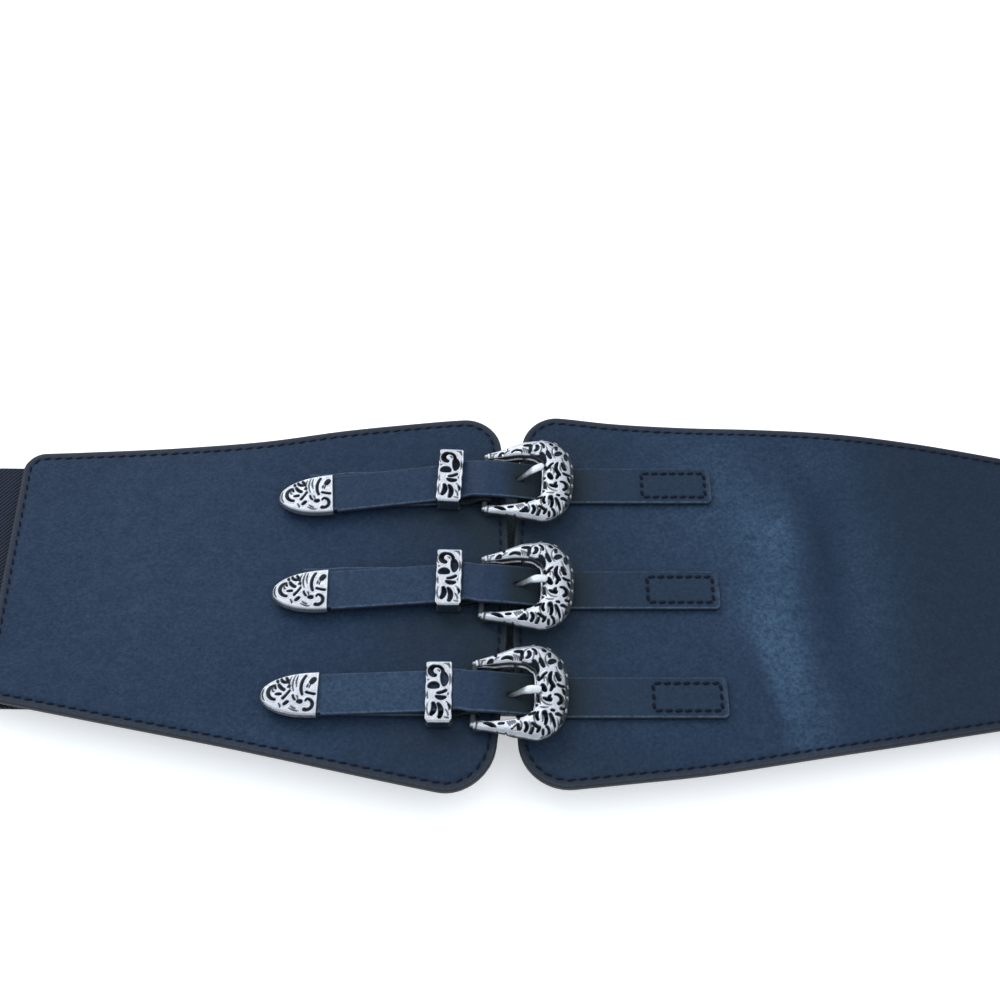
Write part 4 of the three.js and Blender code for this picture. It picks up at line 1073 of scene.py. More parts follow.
# %% [markdown]
# The sewn end of each billet has one box of stitches, 22 mm long and 10 mm wide, two millimetres
# in from the strap's edge. The same thread serves here: a stitch a little shorter and fuller, every
# 3 mm, along the box's four sides.

# %% Box stitches on the straps
BOX_PITCH, BOX_STITCH_SIZE, BOX_STITCH_SINK = 3.0, (0.82, 1.45, 1.1), 0.06
corners = np.array([
    (BOX_START_X, -BOX_HALF), (BOX_END_X, -BOX_HALF), (BOX_END_X, BOX_HALF), (BOX_START_X, BOX_HALF)])
walked = [walk(np.stack(side), BOX_PITCH) for side in zip(corners, np.roll(corners, -1, axis=0))]
box_spots = np.concatenate([spot for spot, _ in walked])
angles = np.concatenate([angle for _, angle in walked])
for name, row in ROWS.items():
    spots = box_spots + [0, row["y"]]
    height = billet_floor(row, spots[:, 0], spots[:, 1]) + BILLET_THICKNESS - BOX_STITCH_SINK
    add_stitches(name + "_billet_stitches", spots, angles, height, BOX_STITCH_SIZE)
print("each box has", len(box_spots), "stitches")

# %% [markdown]
# A chape is the short strap that holds the buckle: it comes from its sewn end on the left panel,
# turns round the bar and ends thinned on its own underside. It is a strip along a path seen from
# the side, with a slot through the fold, where the prong's ring sits on the bar.

# %% Chape straps
CHAPE_EYE = BAR_RADIUS + GAP + CHAPE_THICKNESS / 2
CHAPE_SLOT_HALF, CHAPE_SLOT_START, CHAPE_RIM, CHAPE_RISE_X = 2.2, 4.6, 0.4, -6.6
CHAPE_RIM_STEPS = np.array([0.0, 0.05, 0.14, 0.28, 0.5])


def chape_path(row):
    """Middle line of the strip from the side, counted from the bar: the sewn end on the panel, a ramp
    up, a level stretch, a rise 3 t^2 - 2 t^3, half a circle round the bar, and a short return
    underneath."""
    end = CHAPE_END_X - row["bar_x"]
    half = CHAPE_THICKNESS / 2
    level = CHAPE_FLOOR + half
    ramp = np.array([
        (end, GAP + half), (end + 8, GAP + half), (end + 14, level), (CHAPE_RISE_X, level)])
    t = np.array([0.2, 0.4, 0.6, 0.8])
    climb = (BAR_HEIGHT + CHAPE_EYE - CHAPE_FLOOR - half) * t * t * (3 - 2 * t)
    rise = np.stack([CHAPE_RISE_X + 6.0 * t, level + climb], 1)
    angle = np.radians(np.linspace(88, -90, 15))
    fold = np.stack([CHAPE_EYE * np.cos(angle), BAR_HEIGHT + CHAPE_EYE * np.sin(angle)], 1)
    back = np.array([(-2.2, GAP + half * 0.8), (-4.4, GAP + half * 0.55)])
    line = np.concatenate([ramp, rise, fold, back])
    length = travelled(line)
    at = np.concatenate([np.linspace(0, length[3], 50)[:-1], np.linspace(length[3], length[-1], 60)])
    return read_line(line, length, at), at


def add_chape(name, row):
    """One chape: both skins lie half the thickness off the path, thinned at its ends, and the strip is
    sheared along y so that its fold follows the leaning bar. A round-ended slot is cut out of the
    fold, as far as 2 mm from the strip's end, which stays whole."""
    line, at = chape_path(row)
    ahead = np.gradient(line, at, axis=0)
    ahead /= np.linalg.norm(ahead, axis=1)[:, None]
    out = np.stack([-ahead[:, 1], ahead[:, 0]], 1)
    thinned = np.interp(at, [at[0], at[0] + 3, at[-1] - 4, at[-1]], [0.8, 1.0, 1.0, 0.45])
    thick = thinned * CHAPE_THICKNESS / 2
    half = STRAP_WIDTH / 2
    middle = np.linspace(-half + 0.9, half - 0.9, 31)
    across = np.concatenate([-half + CHAPE_RIM_STEPS, middle, half - CHAPE_RIM_STEPS[::-1]])
    drop = quarter_round(half - np.abs(across), CHAPE_RIM)
    skins = []
    for side in (1, -1):
        reach = side * (thick[:, None] - drop)
        x = line[:, :1] + out[:, :1] * reach
        z = line[:, 1:] + out[:, 1:] * reach
        y = across + 0 * x
        lean = -math.tan(math.radians(row["frame_tilt"])) * ease(line[:, :1], -30, -3)
        placed_y = row["chape_y"] + y + math.tan(math.radians(row["chape_tilt"])) * x
        placed_x = bar_x_at(row, row["chape_y"]) + x + lean * y
        skins.append(as_points(placed_x, placed_y, PANEL_TOP + z))
    fold_start = at[np.argmin(np.abs(line[:, 0] + CHAPE_SLOT_START) + (at > at[-1] - 8) * 99)]
    slot = np.hypot(np.clip(fold_start + CHAPE_SLOT_HALF - at, 0, None)[:, None], across) - CHAPE_SLOT_HALF
    distance = np.maximum(slot, (at - at[-1] + 2.0)[:, None] + 0 * across)
    flat = as_points(at[:, None], across, 0)
    away = (half - np.abs(across)) + 0 * distance
    layers = [skins[0], skins[1], away.ravel(), flat]
    (upper, lower, away, flat), faces = cut_out(layers, grid_faces(*distance.shape), distance.ravel())
    points, faces = close_wall(upper, lower, faces)
    # Painted shade, darker and greyer, lies on the chape where it runs under the billet towards the bar,
    # and a painted highlight runs along its rims away from there.
    edge = 1 - ease(away, 0.05, 0.3)
    wear = bell(away - 0.4, 0.2)
    from_bar = points[:, 0] - row["bar_x"]
    shaded = ease(from_bar, -22, -10)
    piece = add_piece(name + "_chape_leather", points, faces, strap_leather, {
        "edge": np.concatenate([edge, edge]), "crease": 0.6 * shaded, "grime": ease(from_bar, -30, -12),
        "wear": np.concatenate([wear, wear * 0]) * (1 - shaded),
        "flat_place": np.concatenate([flat, flat]) * MM,
    })
    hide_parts(name + "_chape_strap")
    return piece, float(at[-1])


chapes = {name: add_chape(name, row) for name, row in ROWS.items()}
print("chapes are", [round(length) for _, length in chapes.values()], "mm long unfolded")

# %% [markdown]
# The castings are pierced with scrolls. A scroll's gap is a stroke, as from a broad pen: it runs
# from one point to another on a circular arc, and its half width goes from head to belly to tail.
# A point's distance to the nearest stroke says where metal is, how its shoulder rounds off beside
# the gap, and where the black tarnish stays.

# %% Strokes
FAR_AWAY, STROKE_REACH = 9.0, 2.5


def stroke_distance(x, y, strokes, discs=15):
    """How far each point (x, y) lies from the nearest stroke's rim, negative inside. A stroke is a row
    of overlapping discs. Their centres lie on the circle through both ends that bulges to the left
    by bow, and their radius is belly + (end - belly) t^2, t from -1 to 1. Points more than the
    reach away from every stroke keep the value that stands for far away."""
    nearest = np.full(x.shape, FAR_AWAY)
    for from_x, from_y, to_x, to_y, bow, head, belly, tail in strokes:
        chord = np.array([to_x - from_x, to_y - from_y])
        span = np.hypot(*chord)
        ahead = chord / span
        left = np.array([-ahead[1], ahead[0]])
        t = np.linspace(-1 + min(1.1 * head / span, 0.6), 1 - min(1.1 * tail / span, 0.6), discs)
        bow = bow if abs(bow) > 1e-3 else 1e-3
        radius = (span**2 / 4 + bow**2) / (2 * bow)
        turn = 2 * np.arctan(2 * bow / span) * t
        outward = np.outer(np.cos(turn), left) + np.outer(np.sin(turn), ahead)
        spine = np.array([from_x + to_x, from_y + to_y]) / 2 + left * (bow - radius) + outward * radius
        half = belly + (np.where(t < 0, head, tail) - belly) * t**2
        reach = half.max() + STROKE_REACH
        near = ((x > spine[:, 0].min() - reach) & (x < spine[:, 0].max() + reach)
                & (y > spine[:, 1].min() - reach) & (y < spine[:, 1].max() + reach))
        px, py, best = x[near], y[near], nearest[near]
        for (cx, cy), r in zip(spine, half):
            np.minimum(best, np.hypot(px - cx, py - cy) - r, out=best)
        nearest[near] = best
    return nearest


def lowered(strokes, shifts):
    """Strokes read from the photograph, moved down by the shift that belongs to their start."""
    moved = []
    for x, y, to_x, to_y, *rest in strokes:
        down = next(shift for limit, shift in shifts if x < limit)
        moved.append((x, y - down, to_x, to_y - down, *rest))
    return moved


# Each stroke is (from x, from y, to x, to y, bow, head, belly, tail) in its casting's own frame. The
# notches are strokes that may break through the casting's edge. A row of shifts holds (up to x, down).
FRAME_SHIFTS, KEEPER_SHIFTS = [(16, 0.7), (99, 1.1)], [(99, 0.5)]
FRAME_GAPS = lowered([
    (4.6, 10.7, 5.5, 12.1, 0, .5, .8, .5), (8.9, 12.1, 12.1, 12.0, .5, .2, .42, .4),
    (13.0, 14.4, 15.6, 14.2, .1, .15, .5, .55), (15.5, 14.2, 15.2, 11.2, .1, .5, .38, .2),
    (17.5, 14.7, 16.9, 12.3, .8, .3, .55, .15), (18.9, 15.7, 20.2, 13.4, .4, .2, .3, .22),
    (19.4, 11.2, 20.6, 7.3, 0, .4, 1.0, .5), (17.4, 10.1, 19.2, 9.9, 0, .25, .4, .6),
    (21.5, 12.0, 22.8, 9.0, -.1, .3, .58, .4), (22.4, 15.4, 23.2, 14.8, 0, .35, .5, .35),
    (24.6, 10.3, 26.4, 11.3, .2, .5, .85, .45), (24.7, 14.2, 24.7, 12.6, -.1, .35, .45, .3),
    (28.0, 11.2, 28.2, 8.6, 0, .3, .65, .4), (23.7, 6.9, 21.8, 4.7, -.2, .18, .32, .34),
    (20.8, 5.7, 21.3, 4.3, 0, .2, .4, .4), (25.3, 7.1, 25.0, 3.6, -.4, .2, .52, .5),
    (25.0, 3.8, 26.3, 1.8, -.1, .5, .55, .25), (25.6, 2.6, 25.0, .4, .15, .4, .42, .2),
    (26.8, 7.0, 28.0, 4.3, -.1, .25, .6, .68), (27.3, 2.8, 29.5, 2.4, -.3, .25, .42, .3),
    (22.3, 2.6, 23.4, .4, -.1, .35, .78, .45), (29.0, 1.3, 29.6, -.4, .1, .25, .38, .2),
    (22.7, -2.0, 25.4, -2.6, -.35, .14, .5, .92), (24.4, -2.3, 25.1, -1.2, .1, .4, .36, .15),
    (26.4, -.9, 27.4, -4.1, 1.7, .22, .5, .42), (20.8, -.8, 21.1, -3.4, -.1, .25, .4, .3),
    (28.3, -5.6, 29.8, -5.3, 0, .3, .36, .25), (25.3, -6.3, 26.3, -6.5, 0, .22, .34, .28),
    (26.9, -7.7, 28.7, -7.9, .25, .3, .46, .36), (28.8, -8.9, 28.2, -11.0, .2, .25, .36, .25),
    (22.9, -6.9, 23.4, -11.3, .6, .85, .5, .3), (23.7, -11.9, 22.9, -15.2, 1.45, .27, .34, .24),
    (22.8, -15.3, 21.4, -16.1, 0, .3, .33, .2), (22.8, -13.0, 22.8, -14.4, 0, .25, .33, .25),
    (21.1, -7.0, 21.2, -9.9, -.45, .22, .42, .32), (25.0, -7.6, 26.6, -11.6, .15, .26, .4, .24),
    (19.2, -10.9, 21.2, -12.4, 0, .22, .42, .4), (21.7, -12.2, 20.9, -13.8, .1, .35, .4, .18),
    (19.6, -12.4, 17.5, -15.3, .45, .26, .34, .15), (16.9, -10.6, 16.9, -13.6, .75, .26, .48, .38),
    (12.7, -13.1, 15.6, -13.1, 0, .15, .42, .42), (14.7, -11.5, 14.6, -12.9, 0, .2, .6, .7),
    (13.5, -12.7, 14.8, -12.1, 0, .25, .5, .45), (8.5, -10.8, 10.1, -10.9, 0, .3, .4, .3),
    (3.8, -10.0, 7.3, -12.1, .35, .25, .55, .35), (8.9, -13.6, 10.1, -14.0, 0, .3, .4, .3),
], FRAME_SHIFTS)
FRAME_NOTCHES = lowered([
    (19.4, 0.7, 20.9, 0.8, 0, .5, .45, .3), (19.4, -4.7, 20.7, -4.5, 0, .5, .42, .25),
    (18.2, -7.7, 20.2, -7.1, 0, .45, .42, .25), (6.5, 14.6, 6.9, 13.3, 0, .5, .4, .2),
    (7.7, -14.6, 8.0, -13.5, 0, .5, .35, .2), (10.9, -15.3, 10.8, -14.2, 0, .5, .35, .2),
    (14.9, -8.7, 14.9, -9.8, 0, .4, .3, .15),
], FRAME_SHIFTS)
KEEPER_GAPS = lowered([
    (-.9, 6.0, -1.0, 9.3, 1.85, .45, .82, .35), (-1.0, 9.3, 1.3, 7.2, .7, .35, .4, .5),
    (1.3, 7.0, 1.7, 2.4, .35, .45, 1.25, .35), (-3.1, 1.9, -.2, 1.9, .6, .45, 1.2, .45),
    (-.5, -.3, 2.5, .7, -.25, .25, .45, .4), (-.9, -1.4, 2.3, -1.8, -.4, .2, .7, .3),
    (-1.8, -3.8, -2.4, -8.0, .7, .4, .8, .5), (-.2, -4.0, .3, -9.0, .8, .3, .75, .5),
    (3.2, -4.4, 3.7, -5.8, .2, .2, .3, .15),
], KEEPER_SHIFTS)
TIP_GAPS = [
    (-14.3, 3.0, -14.2, -2.0, -2.35, .3, .5, .35), (-14.1, 1.8, -14.4, 2.9, .1, .2, .25, .25),
    (-13.7, 4.9, -13.5, 4.1, 0, .3, .35, .25), (-13.2, 3.4, -11.3, 1.3, -.3, .25, .5, .42),
    (-14.1, -.1, -12.4, -.1, 0, .25, .4, .3), (-12.4, 5.4, -10.0, 4.4, -.8, .25, .42, .55),
    (-10.2, 4.7, -10.8, 5.8, 0, .4, .35, .2), (-10.2, 2.3, -9.5, 2.7, 0, .2, .3, .25),
    (-9.5, 1.0, -11.9, -1.8, .1, .28, .33, .42), (-10.1, -2.8, -11.4, -3.8, 0, .42, .5, .35),
    (-4.3, 6.2, -5.4, -.7, -.95, .32, .42, .3), (-4.3, .3, -1.3, -.6, -.1, .32, .33, .38),
    (-2.6, 3.5, -1.5, 5.0, 0, .65, .82, .6), (-8.5, -.6, -7.7, -2.4, -.2, .2, .25, .2),
    (-7.0, -2.9, -5.6, -3.1, 0, .3, .65, .72), (-4.1, -2.2, -5.2, -5.5, 2.6, .28, .46, .55),
    (-4.3, -2.9, -3.8, -2.2, .1, .2, .25, .25),
]
print("strokes:", len(FRAME_GAPS), len(KEEPER_GAPS), len(TIP_GAPS))

# %% [markdown]
# Fine engraved lines don't go through the metal: ribs on the leaves, the double lines inside a
# scroll and the hatching on the lower arm. They are strokes too, shallow and thin, and only lower
# the face and darken it. LINE holds the head, belly and tail of nearly all of them.

# %% Engraved lines
LINE = (0.12, 0.30, 0.12)
FRAME_LINES = lowered([
    (12.6, 13.4, 13.2, 11.4, .35, *LINE), (13.4, 13.1, 14.0, 11.2, .35, *LINE),
    (14.2, 12.7, 14.6, 11.1, .3, *LINE), (11.9, 12.9, 12.4, 11.2, .3, *LINE),
    (11.2, -10.2, 12.3, -12.1, 0, *LINE), (11.9, -10.0, 13.0, -11.7, 0, *LINE),
    (12.6, -9.9, 13.6, -11.3, 0, *LINE), (13.3, -9.9, 14.1, -11.0, 0, *LINE),
    (1.6, 12.3, 3.6, 12.4, 0, *LINE), (2.2, 10.6, 2.6, 12.0, .2, *LINE),
    (6.4, 11.9, 8.0, 12.9, .2, *LINE), (23.3, 5.4, 24.0, 1.9, .4, *LINE),
    (22.4, 5.6, 22.9, 3.6, .3, *LINE), (26.2, 6.2, 26.9, 3.4, -.3, *LINE),
    (21.4, -.4, 21.9, -4.4, -.2, *LINE), (24.6, 8.9, 23.2, 12.4, .5, *LINE),
    (20.9, 14.4, 20.5, 9.6, .8, *LINE), (24.2, 14.3, 23.9, 9.9, -.8, *LINE),
    (17.9, 16.0, 16.2, 12.0, -1.1, *LINE), (19.2, 14.4, 18.6, 11.2, .5, *LINE),
    (20.4, 16.2, 23.2, 15.7, .2, *LINE), (26.7, 9.4, 29.2, 5.2, -.4, *LINE),
    (24.4, 6.4, 24.6, 3.6, .2, *LINE), (21.9, -1.2, 25.8, -4.5, -1.3, *LINE),
    (28.9, -1.0, 28.3, -5.0, .9, *LINE), (21.6, -5.2, 24.6, -5.4, -.2, *LINE),
    (24.5, -7.6, 25.2, -11.4, .3, *LINE), (26.4, -11.8, 25.6, -14.8, .4, *LINE),
    (27.3, -8.8, 26.5, -14.4, .8, *LINE), (25.6, -12.4, 24.2, -15.6, .7, *LINE),
    (22.2, -7.6, 22.5, -10.8, .3, *LINE), (20.2, -6.6, 20.4, -11.0, -.5, *LINE),
    (15.4, -10.3, 15.3, -13.8, .6, *LINE), (18.2, -10.4, 18.1, -14.0, .7, *LINE),
    (12.0, -14.4, 20.6, -16.7, -.5, *LINE), (2.4, -11.6, 6.8, -13.0, .1, .04, .07, .04),
], FRAME_SHIFTS)
KEEPER_LINES = lowered([
    (1.4, 10.4, 3.6, 8.6, .6, *LINE), (2.4, 10.4, 3.5, 9.6, .2, *LINE), (-3.7, 4.5, -3.2, 4.3, 0, *LINE),
    (3.1, -.2, 3.1, -1.2, 0, *LINE), (-3.9, 9.0, -3.6, 5.6, -.6, *LINE), (3.5, 6.6, 3.6, 2.6, .2, *LINE),
    (-3.6, .2, -3.4, -2.4, -.2, *LINE), (2.4, -3.2, 3.4, -6.6, .6, *LINE),
    (-3.4, -3.8, -3.0, -8.4, -.5, *LINE), (2.2, -6.0, 3.2, -8.6, .3, *LINE),
    (-.6, 7.9, .2, 7.2, .3, *LINE), (1.9, -8.8, 3.6, -9.2, 0, *LINE),
], KEEPER_SHIFTS)
TIP_LINES = [
    (-17.9, 2.0, -17.7, -2.2, -.7, *LINE), (-16.6, 4.0, -13.6, 5.9, .4, *LINE),
    (-8.9, 6.0, -9.4, 1.6, -.6, *LINE), (-7.6, 6.6, -8.2, .6, -.7, *LINE),
    (-6.8, 6.4, -7.2, 2.0, -.4, *LINE), (-3.4, 3.2, -3.9, 1.8, -.2, *LINE),
    (-2.7, 2.9, -3.2, 1.5, -.2, *LINE), (-13.2, -3.2, -12.6, -5.0, .2, *LINE),
    (-9.2, -4.3, -7.4, -5.4, -.2, *LINE), (-9.8, -5.0, -6.4, -6.3, -.3, *LINE),
    (-14.9, 2.0, -14.5, .8, -.5, *LINE), (-8.9, 7.0, -3.4, 7.2, .2, *LINE),
    (-.6, 6.6, -.9, 1.0, 0, .03, .06, .03), (-7.4, -.8, -6.9, -2.2, .2, *LINE),
]
print("engraved lines:", len(FRAME_LINES), len(KEEPER_LINES), len(TIP_LINES))

# %% [markdown]
# A cast face isn't flat between its gaps: the metal rounds off towards each gap, and a faint line
# runs along it, as from a tool drawn round the scroll. Black tarnish stays in all these hollows,
# because polishing reaches only the high places. The frame's gaps are then cut a trace wider than
# their strokes, and those of keepers and tips a little narrower.

# %% Relief of a cast face
SHOULDER, SHOULDER_DROP, LINE_DEPTH, LINE_SOFTNESS, LINE_FILL = 0.45, 0.42, 0.22, 0.12, 0.45
ECHO_AWAY, ECHO_HALF, ECHO_SHARE = 0.85, 0.12, 0.28
GAP_BLACK, GAP_BLACK_REACH = 1.1, 0.24
BORDER, EDGE_AWAY = 0.38, 0.15


def cast_relief(gap, line, shade):
    """Height lost on a cast face: a shoulder 1 - sqrt(1 - n^2) near a gap, and a shallow groove along
    each engraved line and beside each gap. The second value says how black the point is, a bell
    round the gap plus the grooves times shade."""
    near = np.clip(1 - gap / SHOULDER, 0, 1)
    shoulder = SHOULDER_DROP * (1 - np.sqrt(1 - near**2))
    echo = ECHO_SHARE * bell(gap - ECHO_AWAY, ECHO_HALF)
    groove = np.maximum(np.clip(-line / LINE_SOFTNESS + LINE_FILL, 0, 1), echo)
    beside_gap = GAP_BLACK * bell(np.clip(gap, 0, None), GAP_BLACK_REACH)
    return shoulder + LINE_DEPTH * groove, np.clip(beside_gap + shade * groove, 0, 1)


loss, dark = cast_relief(np.array([0.0, 0.2, 2.0]), np.array([FAR_AWAY] * 3), 1.0)
print("height lost 0, 0.2 and 2 mm from a gap:", loss.round(2), "black:", dark.round(2))

# %% [markdown]
# The buckle is a domed rim. Its middle line runs along the upper arm, round the squared-off bow and
# back along the lower arm, and its width grows towards the bow. The grid goes along that line and
# across it at equal steps, fine enough that each scroll has a smooth edge.

# %% Buckle frame
# FRAME_RIM is how high over the panel the rim's dome stands, as (x, height). FRAME_WIDTHS is the rim's
# half width, as (share of the way from an arm's end to the bow's middle, half width).
ARM_START, ARM_END_Y, ARM_LENGTH, ARM_SHARE = 0.2, 11.0, 13.5, 0.41
BOW_REACH, BOW_HALF_SPAN, BOW_SQUARENESS, BOW_HALF_WIDTH = 12.2, 12.9, 0.62, 5.4
FRAME_RIM = [(0, 2.3), (3, 2.75), (7, 3.9), (11, 5.0), (15, 5.6), (20, 5.9), (30, 5.9)]
FRAME_WIDTHS = [
    (0, 1.2), (0.18, 1.75), (0.37, 2.7), (0.46, 3.6), (0.52, 4.5), (0.66, 4.9), (1, BOW_HALF_WIDTH)]


def frame_line(count):
    """The buckle's middle line at equal steps: two straight arms and a superellipse
    x = a cos^0.62, y = b sin^0.62 between them, smoothed a little where they meet."""
    travel = np.linspace(0, 2, 6001)
    share = np.where(travel <= 1, travel, 2 - travel)
    flip = np.where(travel <= 1, 1.0, -1.0)
    along = np.clip(share / ARM_SHARE, 0, 1)
    angle = np.pi / 2 * (1 - np.clip((share - ARM_SHARE) / (1 - ARM_SHARE), 0, 1))
    bow_x = ARM_LENGTH + BOW_REACH * np.clip(np.cos(angle), 0, 1) ** BOW_SQUARENESS
    x = np.where(share < ARM_SHARE, ARM_START + (ARM_LENGTH - ARM_START) * along, bow_x)
    y = np.where(share < ARM_SHARE, ARM_END_Y + (BOW_HALF_SPAN - ARM_END_Y) * along,
                 BOW_HALF_SPAN * np.clip(np.sin(angle), 0, 1) ** BOW_SQUARENESS) * flip
    line = np.stack([x, y], 1)
    length = travelled(line)
    at = np.linspace(0, length[-1], count)
    even = read_line(line, length, at)
    reach = 9
    padded = np.concatenate([2 * even[:1] - even[reach:0:-1], even, 2 * even[-1:] - even[-2:-reach - 2:-1]])
    weights = np.hanning(2 * reach + 3)[1:-1]
    smooth = np.stack([np.convolve(padded[:, k], weights / weights.sum(), "valid") for k in range(2)], 1)
    return smooth, np.interp(at, length, share), at


_, _, frame_at = frame_line(200)
print("rim's middle line is", round(float(frame_at[-1]), 1), "mm long")

# %% [markdown]
# The rim's face is domed and pierced, with a border left whole at both edges. The lower arm keeps a
# wider plain border, and a row of beads runs along the bow's outer edge in a lowered strip. The
# whole rim is one grid, cut along the line where the distance to the strokes is zero.

# %% Buckle rim
FRAME_WALL, DOME_RISE, DOME_INSIDE, DOME_OUTSIDE, DOME_POWER = 1.1, 1.7, 1.2, 2.5, 2.75
LUG_DROP, LUG_LENGTH = 2.0, 3.5
BEAD_PITCH, BEAD_RADIUS, BEAD_PLACE, BEAD_RISE, SKIRT_DROP = 3.7, 0.62, 0.93, 0.8, 0.45
PLAIN_RIM, FRAME_WIDER, FRAME_LINE_SHADE = 0.95, 0.01, 0.7


def frame_shell(along_steps=460, across_steps=54):
    """The pierced rim in its own place: the bar lies along Y at x = 0. Across the rim the height is 1.7 - k
    |a|^2.75, a from -1 inside to 1 outside, k 1.2 inside and 2.5 outside. The plain border, the strip of
    beads and the painted shade on the upper bow's inner edge are products of eases along a, x and y, and
    the painted shade at the arms' roots is a bell. Lugs go down from the rim's ends to the bar."""
    line, share, at = frame_line(along_steps)
    ahead = np.gradient(line, axis=0)
    ahead /= np.linalg.norm(ahead, axis=1)[:, None]
    half = read_smooth(FRAME_WIDTHS, share)[:, None]
    a = np.linspace(-1, 1, across_steps + 1)[None, :]
    x = line[:, :1] - ahead[:, 1:] * half * a
    y = line[:, 1:] + ahead[:, :1] * half * a
    rise = DOME_RISE - np.where(a < 0, DOME_INSIDE, DOME_OUTSIDE) * np.abs(a) ** DOME_POWER
    size = half / BOW_HALF_WIDTH
    rim = read_smooth(FRAME_RIM, line[:, :1])
    lug = LUG_DROP * (1 - ease(line[:, :1], ARM_START, LUG_LENGTH))
    engraved = stroke_distance(x, y, FRAME_LINES, 21)
    side = np.minimum(half * (1 - np.abs(a)), np.minimum(at, at[-1] - at)[:, None])
    lower_arm = ease(-y, 10.5, 13.0) * ease(x, 3.0, 7.0) * (1 - ease(x, 19.5, 22.5)) * (a > 0)
    border = BORDER + PLAIN_RIM * lower_arm
    gap = np.maximum(stroke_distance(x, y, FRAME_GAPS) - FRAME_WIDER, border - side)
    gap = np.minimum(gap, stroke_distance(x, y, FRAME_NOTCHES))
    relief, black = cast_relief(np.minimum(gap, side + EDGE_AWAY), engraved, FRAME_LINE_SHADE)
    wide = ease(size, 0.6, 0.85) * ease(y, -12.5, -8.5)
    skirt = ease(a, 0.74, 0.82) * wide
    phase = at / BEAD_PITCH
    from_bead = np.hypot((phase - np.round(phase))[:, None] * BEAD_PITCH, (a - BEAD_PLACE) * half)
    bead = ease(BEAD_RADIUS - from_bead, 0.0, 0.25) * wide
    relief = relief + skirt * (SKIRT_DROP - BEAD_RISE * bead)
    black = np.clip(black + 0.95 * skirt * (1 - bead), 0, 1) * (1 - bead)
    root_shade = 0.85 * bell(line[:, :1] - 1.3, 0.45)
    lip_shade = ease(-a, 0.74, 0.84) * ease(x, 14.5, 16) * ease(y, 4, 6)
    black = np.maximum(np.maximum(black, root_shade), lip_shade)
    top = rim + rise * size + FRAME_WALL - relief
    base = rim + rise * size - lug - 0.25 * np.minimum(relief, 0.5)
    layers = [as_points(x, y, top), as_points(x, y, base), black.ravel()]
    layers, faces = cut_out(layers, grid_faces(*x.shape), gap.ravel())
    upper, lower, black = layers
    points, faces = close_wall(upper, lower, faces[:, ::-1])
    return points, faces, np.concatenate([black, np.ones(len(black))])


frame_points, frame_faces, frame_black = frame_shell()
print("rim has", len(frame_faces), "triangles")

# %% [markdown]
# Inside the rim the casting turns down in a wall, which the photograph shows as a black band with a
# bright rubbed lip. The wall is a ribbon with its own cross-section, carried along the rim's inner
# edge. On the upper arm it goes on below the lip, about as far again, and the camera sees it there.

# %% Buckle's inner wall
# The cross-section is two rows, read in pairs: how far down, as a share of the wall's height, and how
# far behind the rim's inner edge, in millimetres. The lip stands out past that edge, so it is negative.
FLANGE_HEIGHT, FLANGE_SINK, LIP_ENDS, DEEPER_SHARE = 2.3, 0.45, (12.4, 16.2), 1.1
FLANGE_DOWN = np.array([0.0, 0.3, 0.6, 0.74, 0.78, 0.82, 0.92, 1.0, 1.02, 1.04, 1.04, 0.8, 0.3, 0.0])
FLANGE_IN = np.array([0.15, 0.12, 0.1, 0.08, -0.3, -0.42, -0.42, -0.3, 0.1, 0.15, 0.4, 0.5, 0.6, 0.65])
LIP_BLACK_ARM, LIP_BRIGHT_BOW = 0.42, 0.92


def frame_flange(along_steps=320):
    """The wall: each station's cross-section is the two rows, scaled by the wall's height there, which
    eases in along the arms. The lip is grey on the arms, black where they end, and eases over to
    bright on the bow."""
    line, share, _ = frame_line(along_steps)
    ahead = np.gradient(line, axis=0)
    ahead /= np.linalg.norm(ahead, axis=1)[:, None]
    half = read_smooth(FRAME_WIDTHS, share)
    height = FLANGE_HEIGHT * ease(line[:, 0], 2.5, 7.0)
    face = read_smooth(FRAME_RIM, line[:, 0]) + 0.5 * half / BOW_HALF_WIDTH + FRAME_WALL - FLANGE_SINK
    deeper = DEEPER_SHARE * (line[:, 1:] > 0) * (1 - ease(line[:, :1], 11, 15))
    down = FLANGE_DOWN + deeper * (FLANGE_DOWN > 1.03)
    side = half[:, None] - FLANGE_IN
    x = line[:, :1] + ahead[:, 1:] * side
    y = line[:, 1:] - ahead[:, :1] * side
    z = face[:, None] - height[:, None] * down
    points = as_points(x, y, z)
    rows, columns = x.shape
    order = np.arange(rows * columns).reshape(rows, columns).T.ravel()
    faces = order[grid_faces(columns, rows, closed=True)]
    here = np.arange(1, columns - 1)
    end = np.stack([0 * here, here, here + 1], 1)
    bright = 1 - ease(line[:, 0], *LIP_ENDS) * LIP_BRIGHT_BOW
    lip = np.where(line[:, 0] < LIP_ENDS[0], LIP_BLACK_ARM, bright)
    black = np.where((down > 0.73) & (down < 0.95) & (FLANGE_IN < 0.2), lip[:, None], 1.0).ravel()
    return points, np.concatenate([faces, end[:, ::-1], end + (rows - 1) * columns]), black


flange_points, flange_faces, flange_black = frame_flange()
print("inner wall has", len(flange_faces), "triangles")

# %% [markdown]
# The bar is a round rod between the arms, and its two ends stick out as small knobs. Rim, wall and
# bar are one casting, so all three go into one mesh, as closed skins that meet.

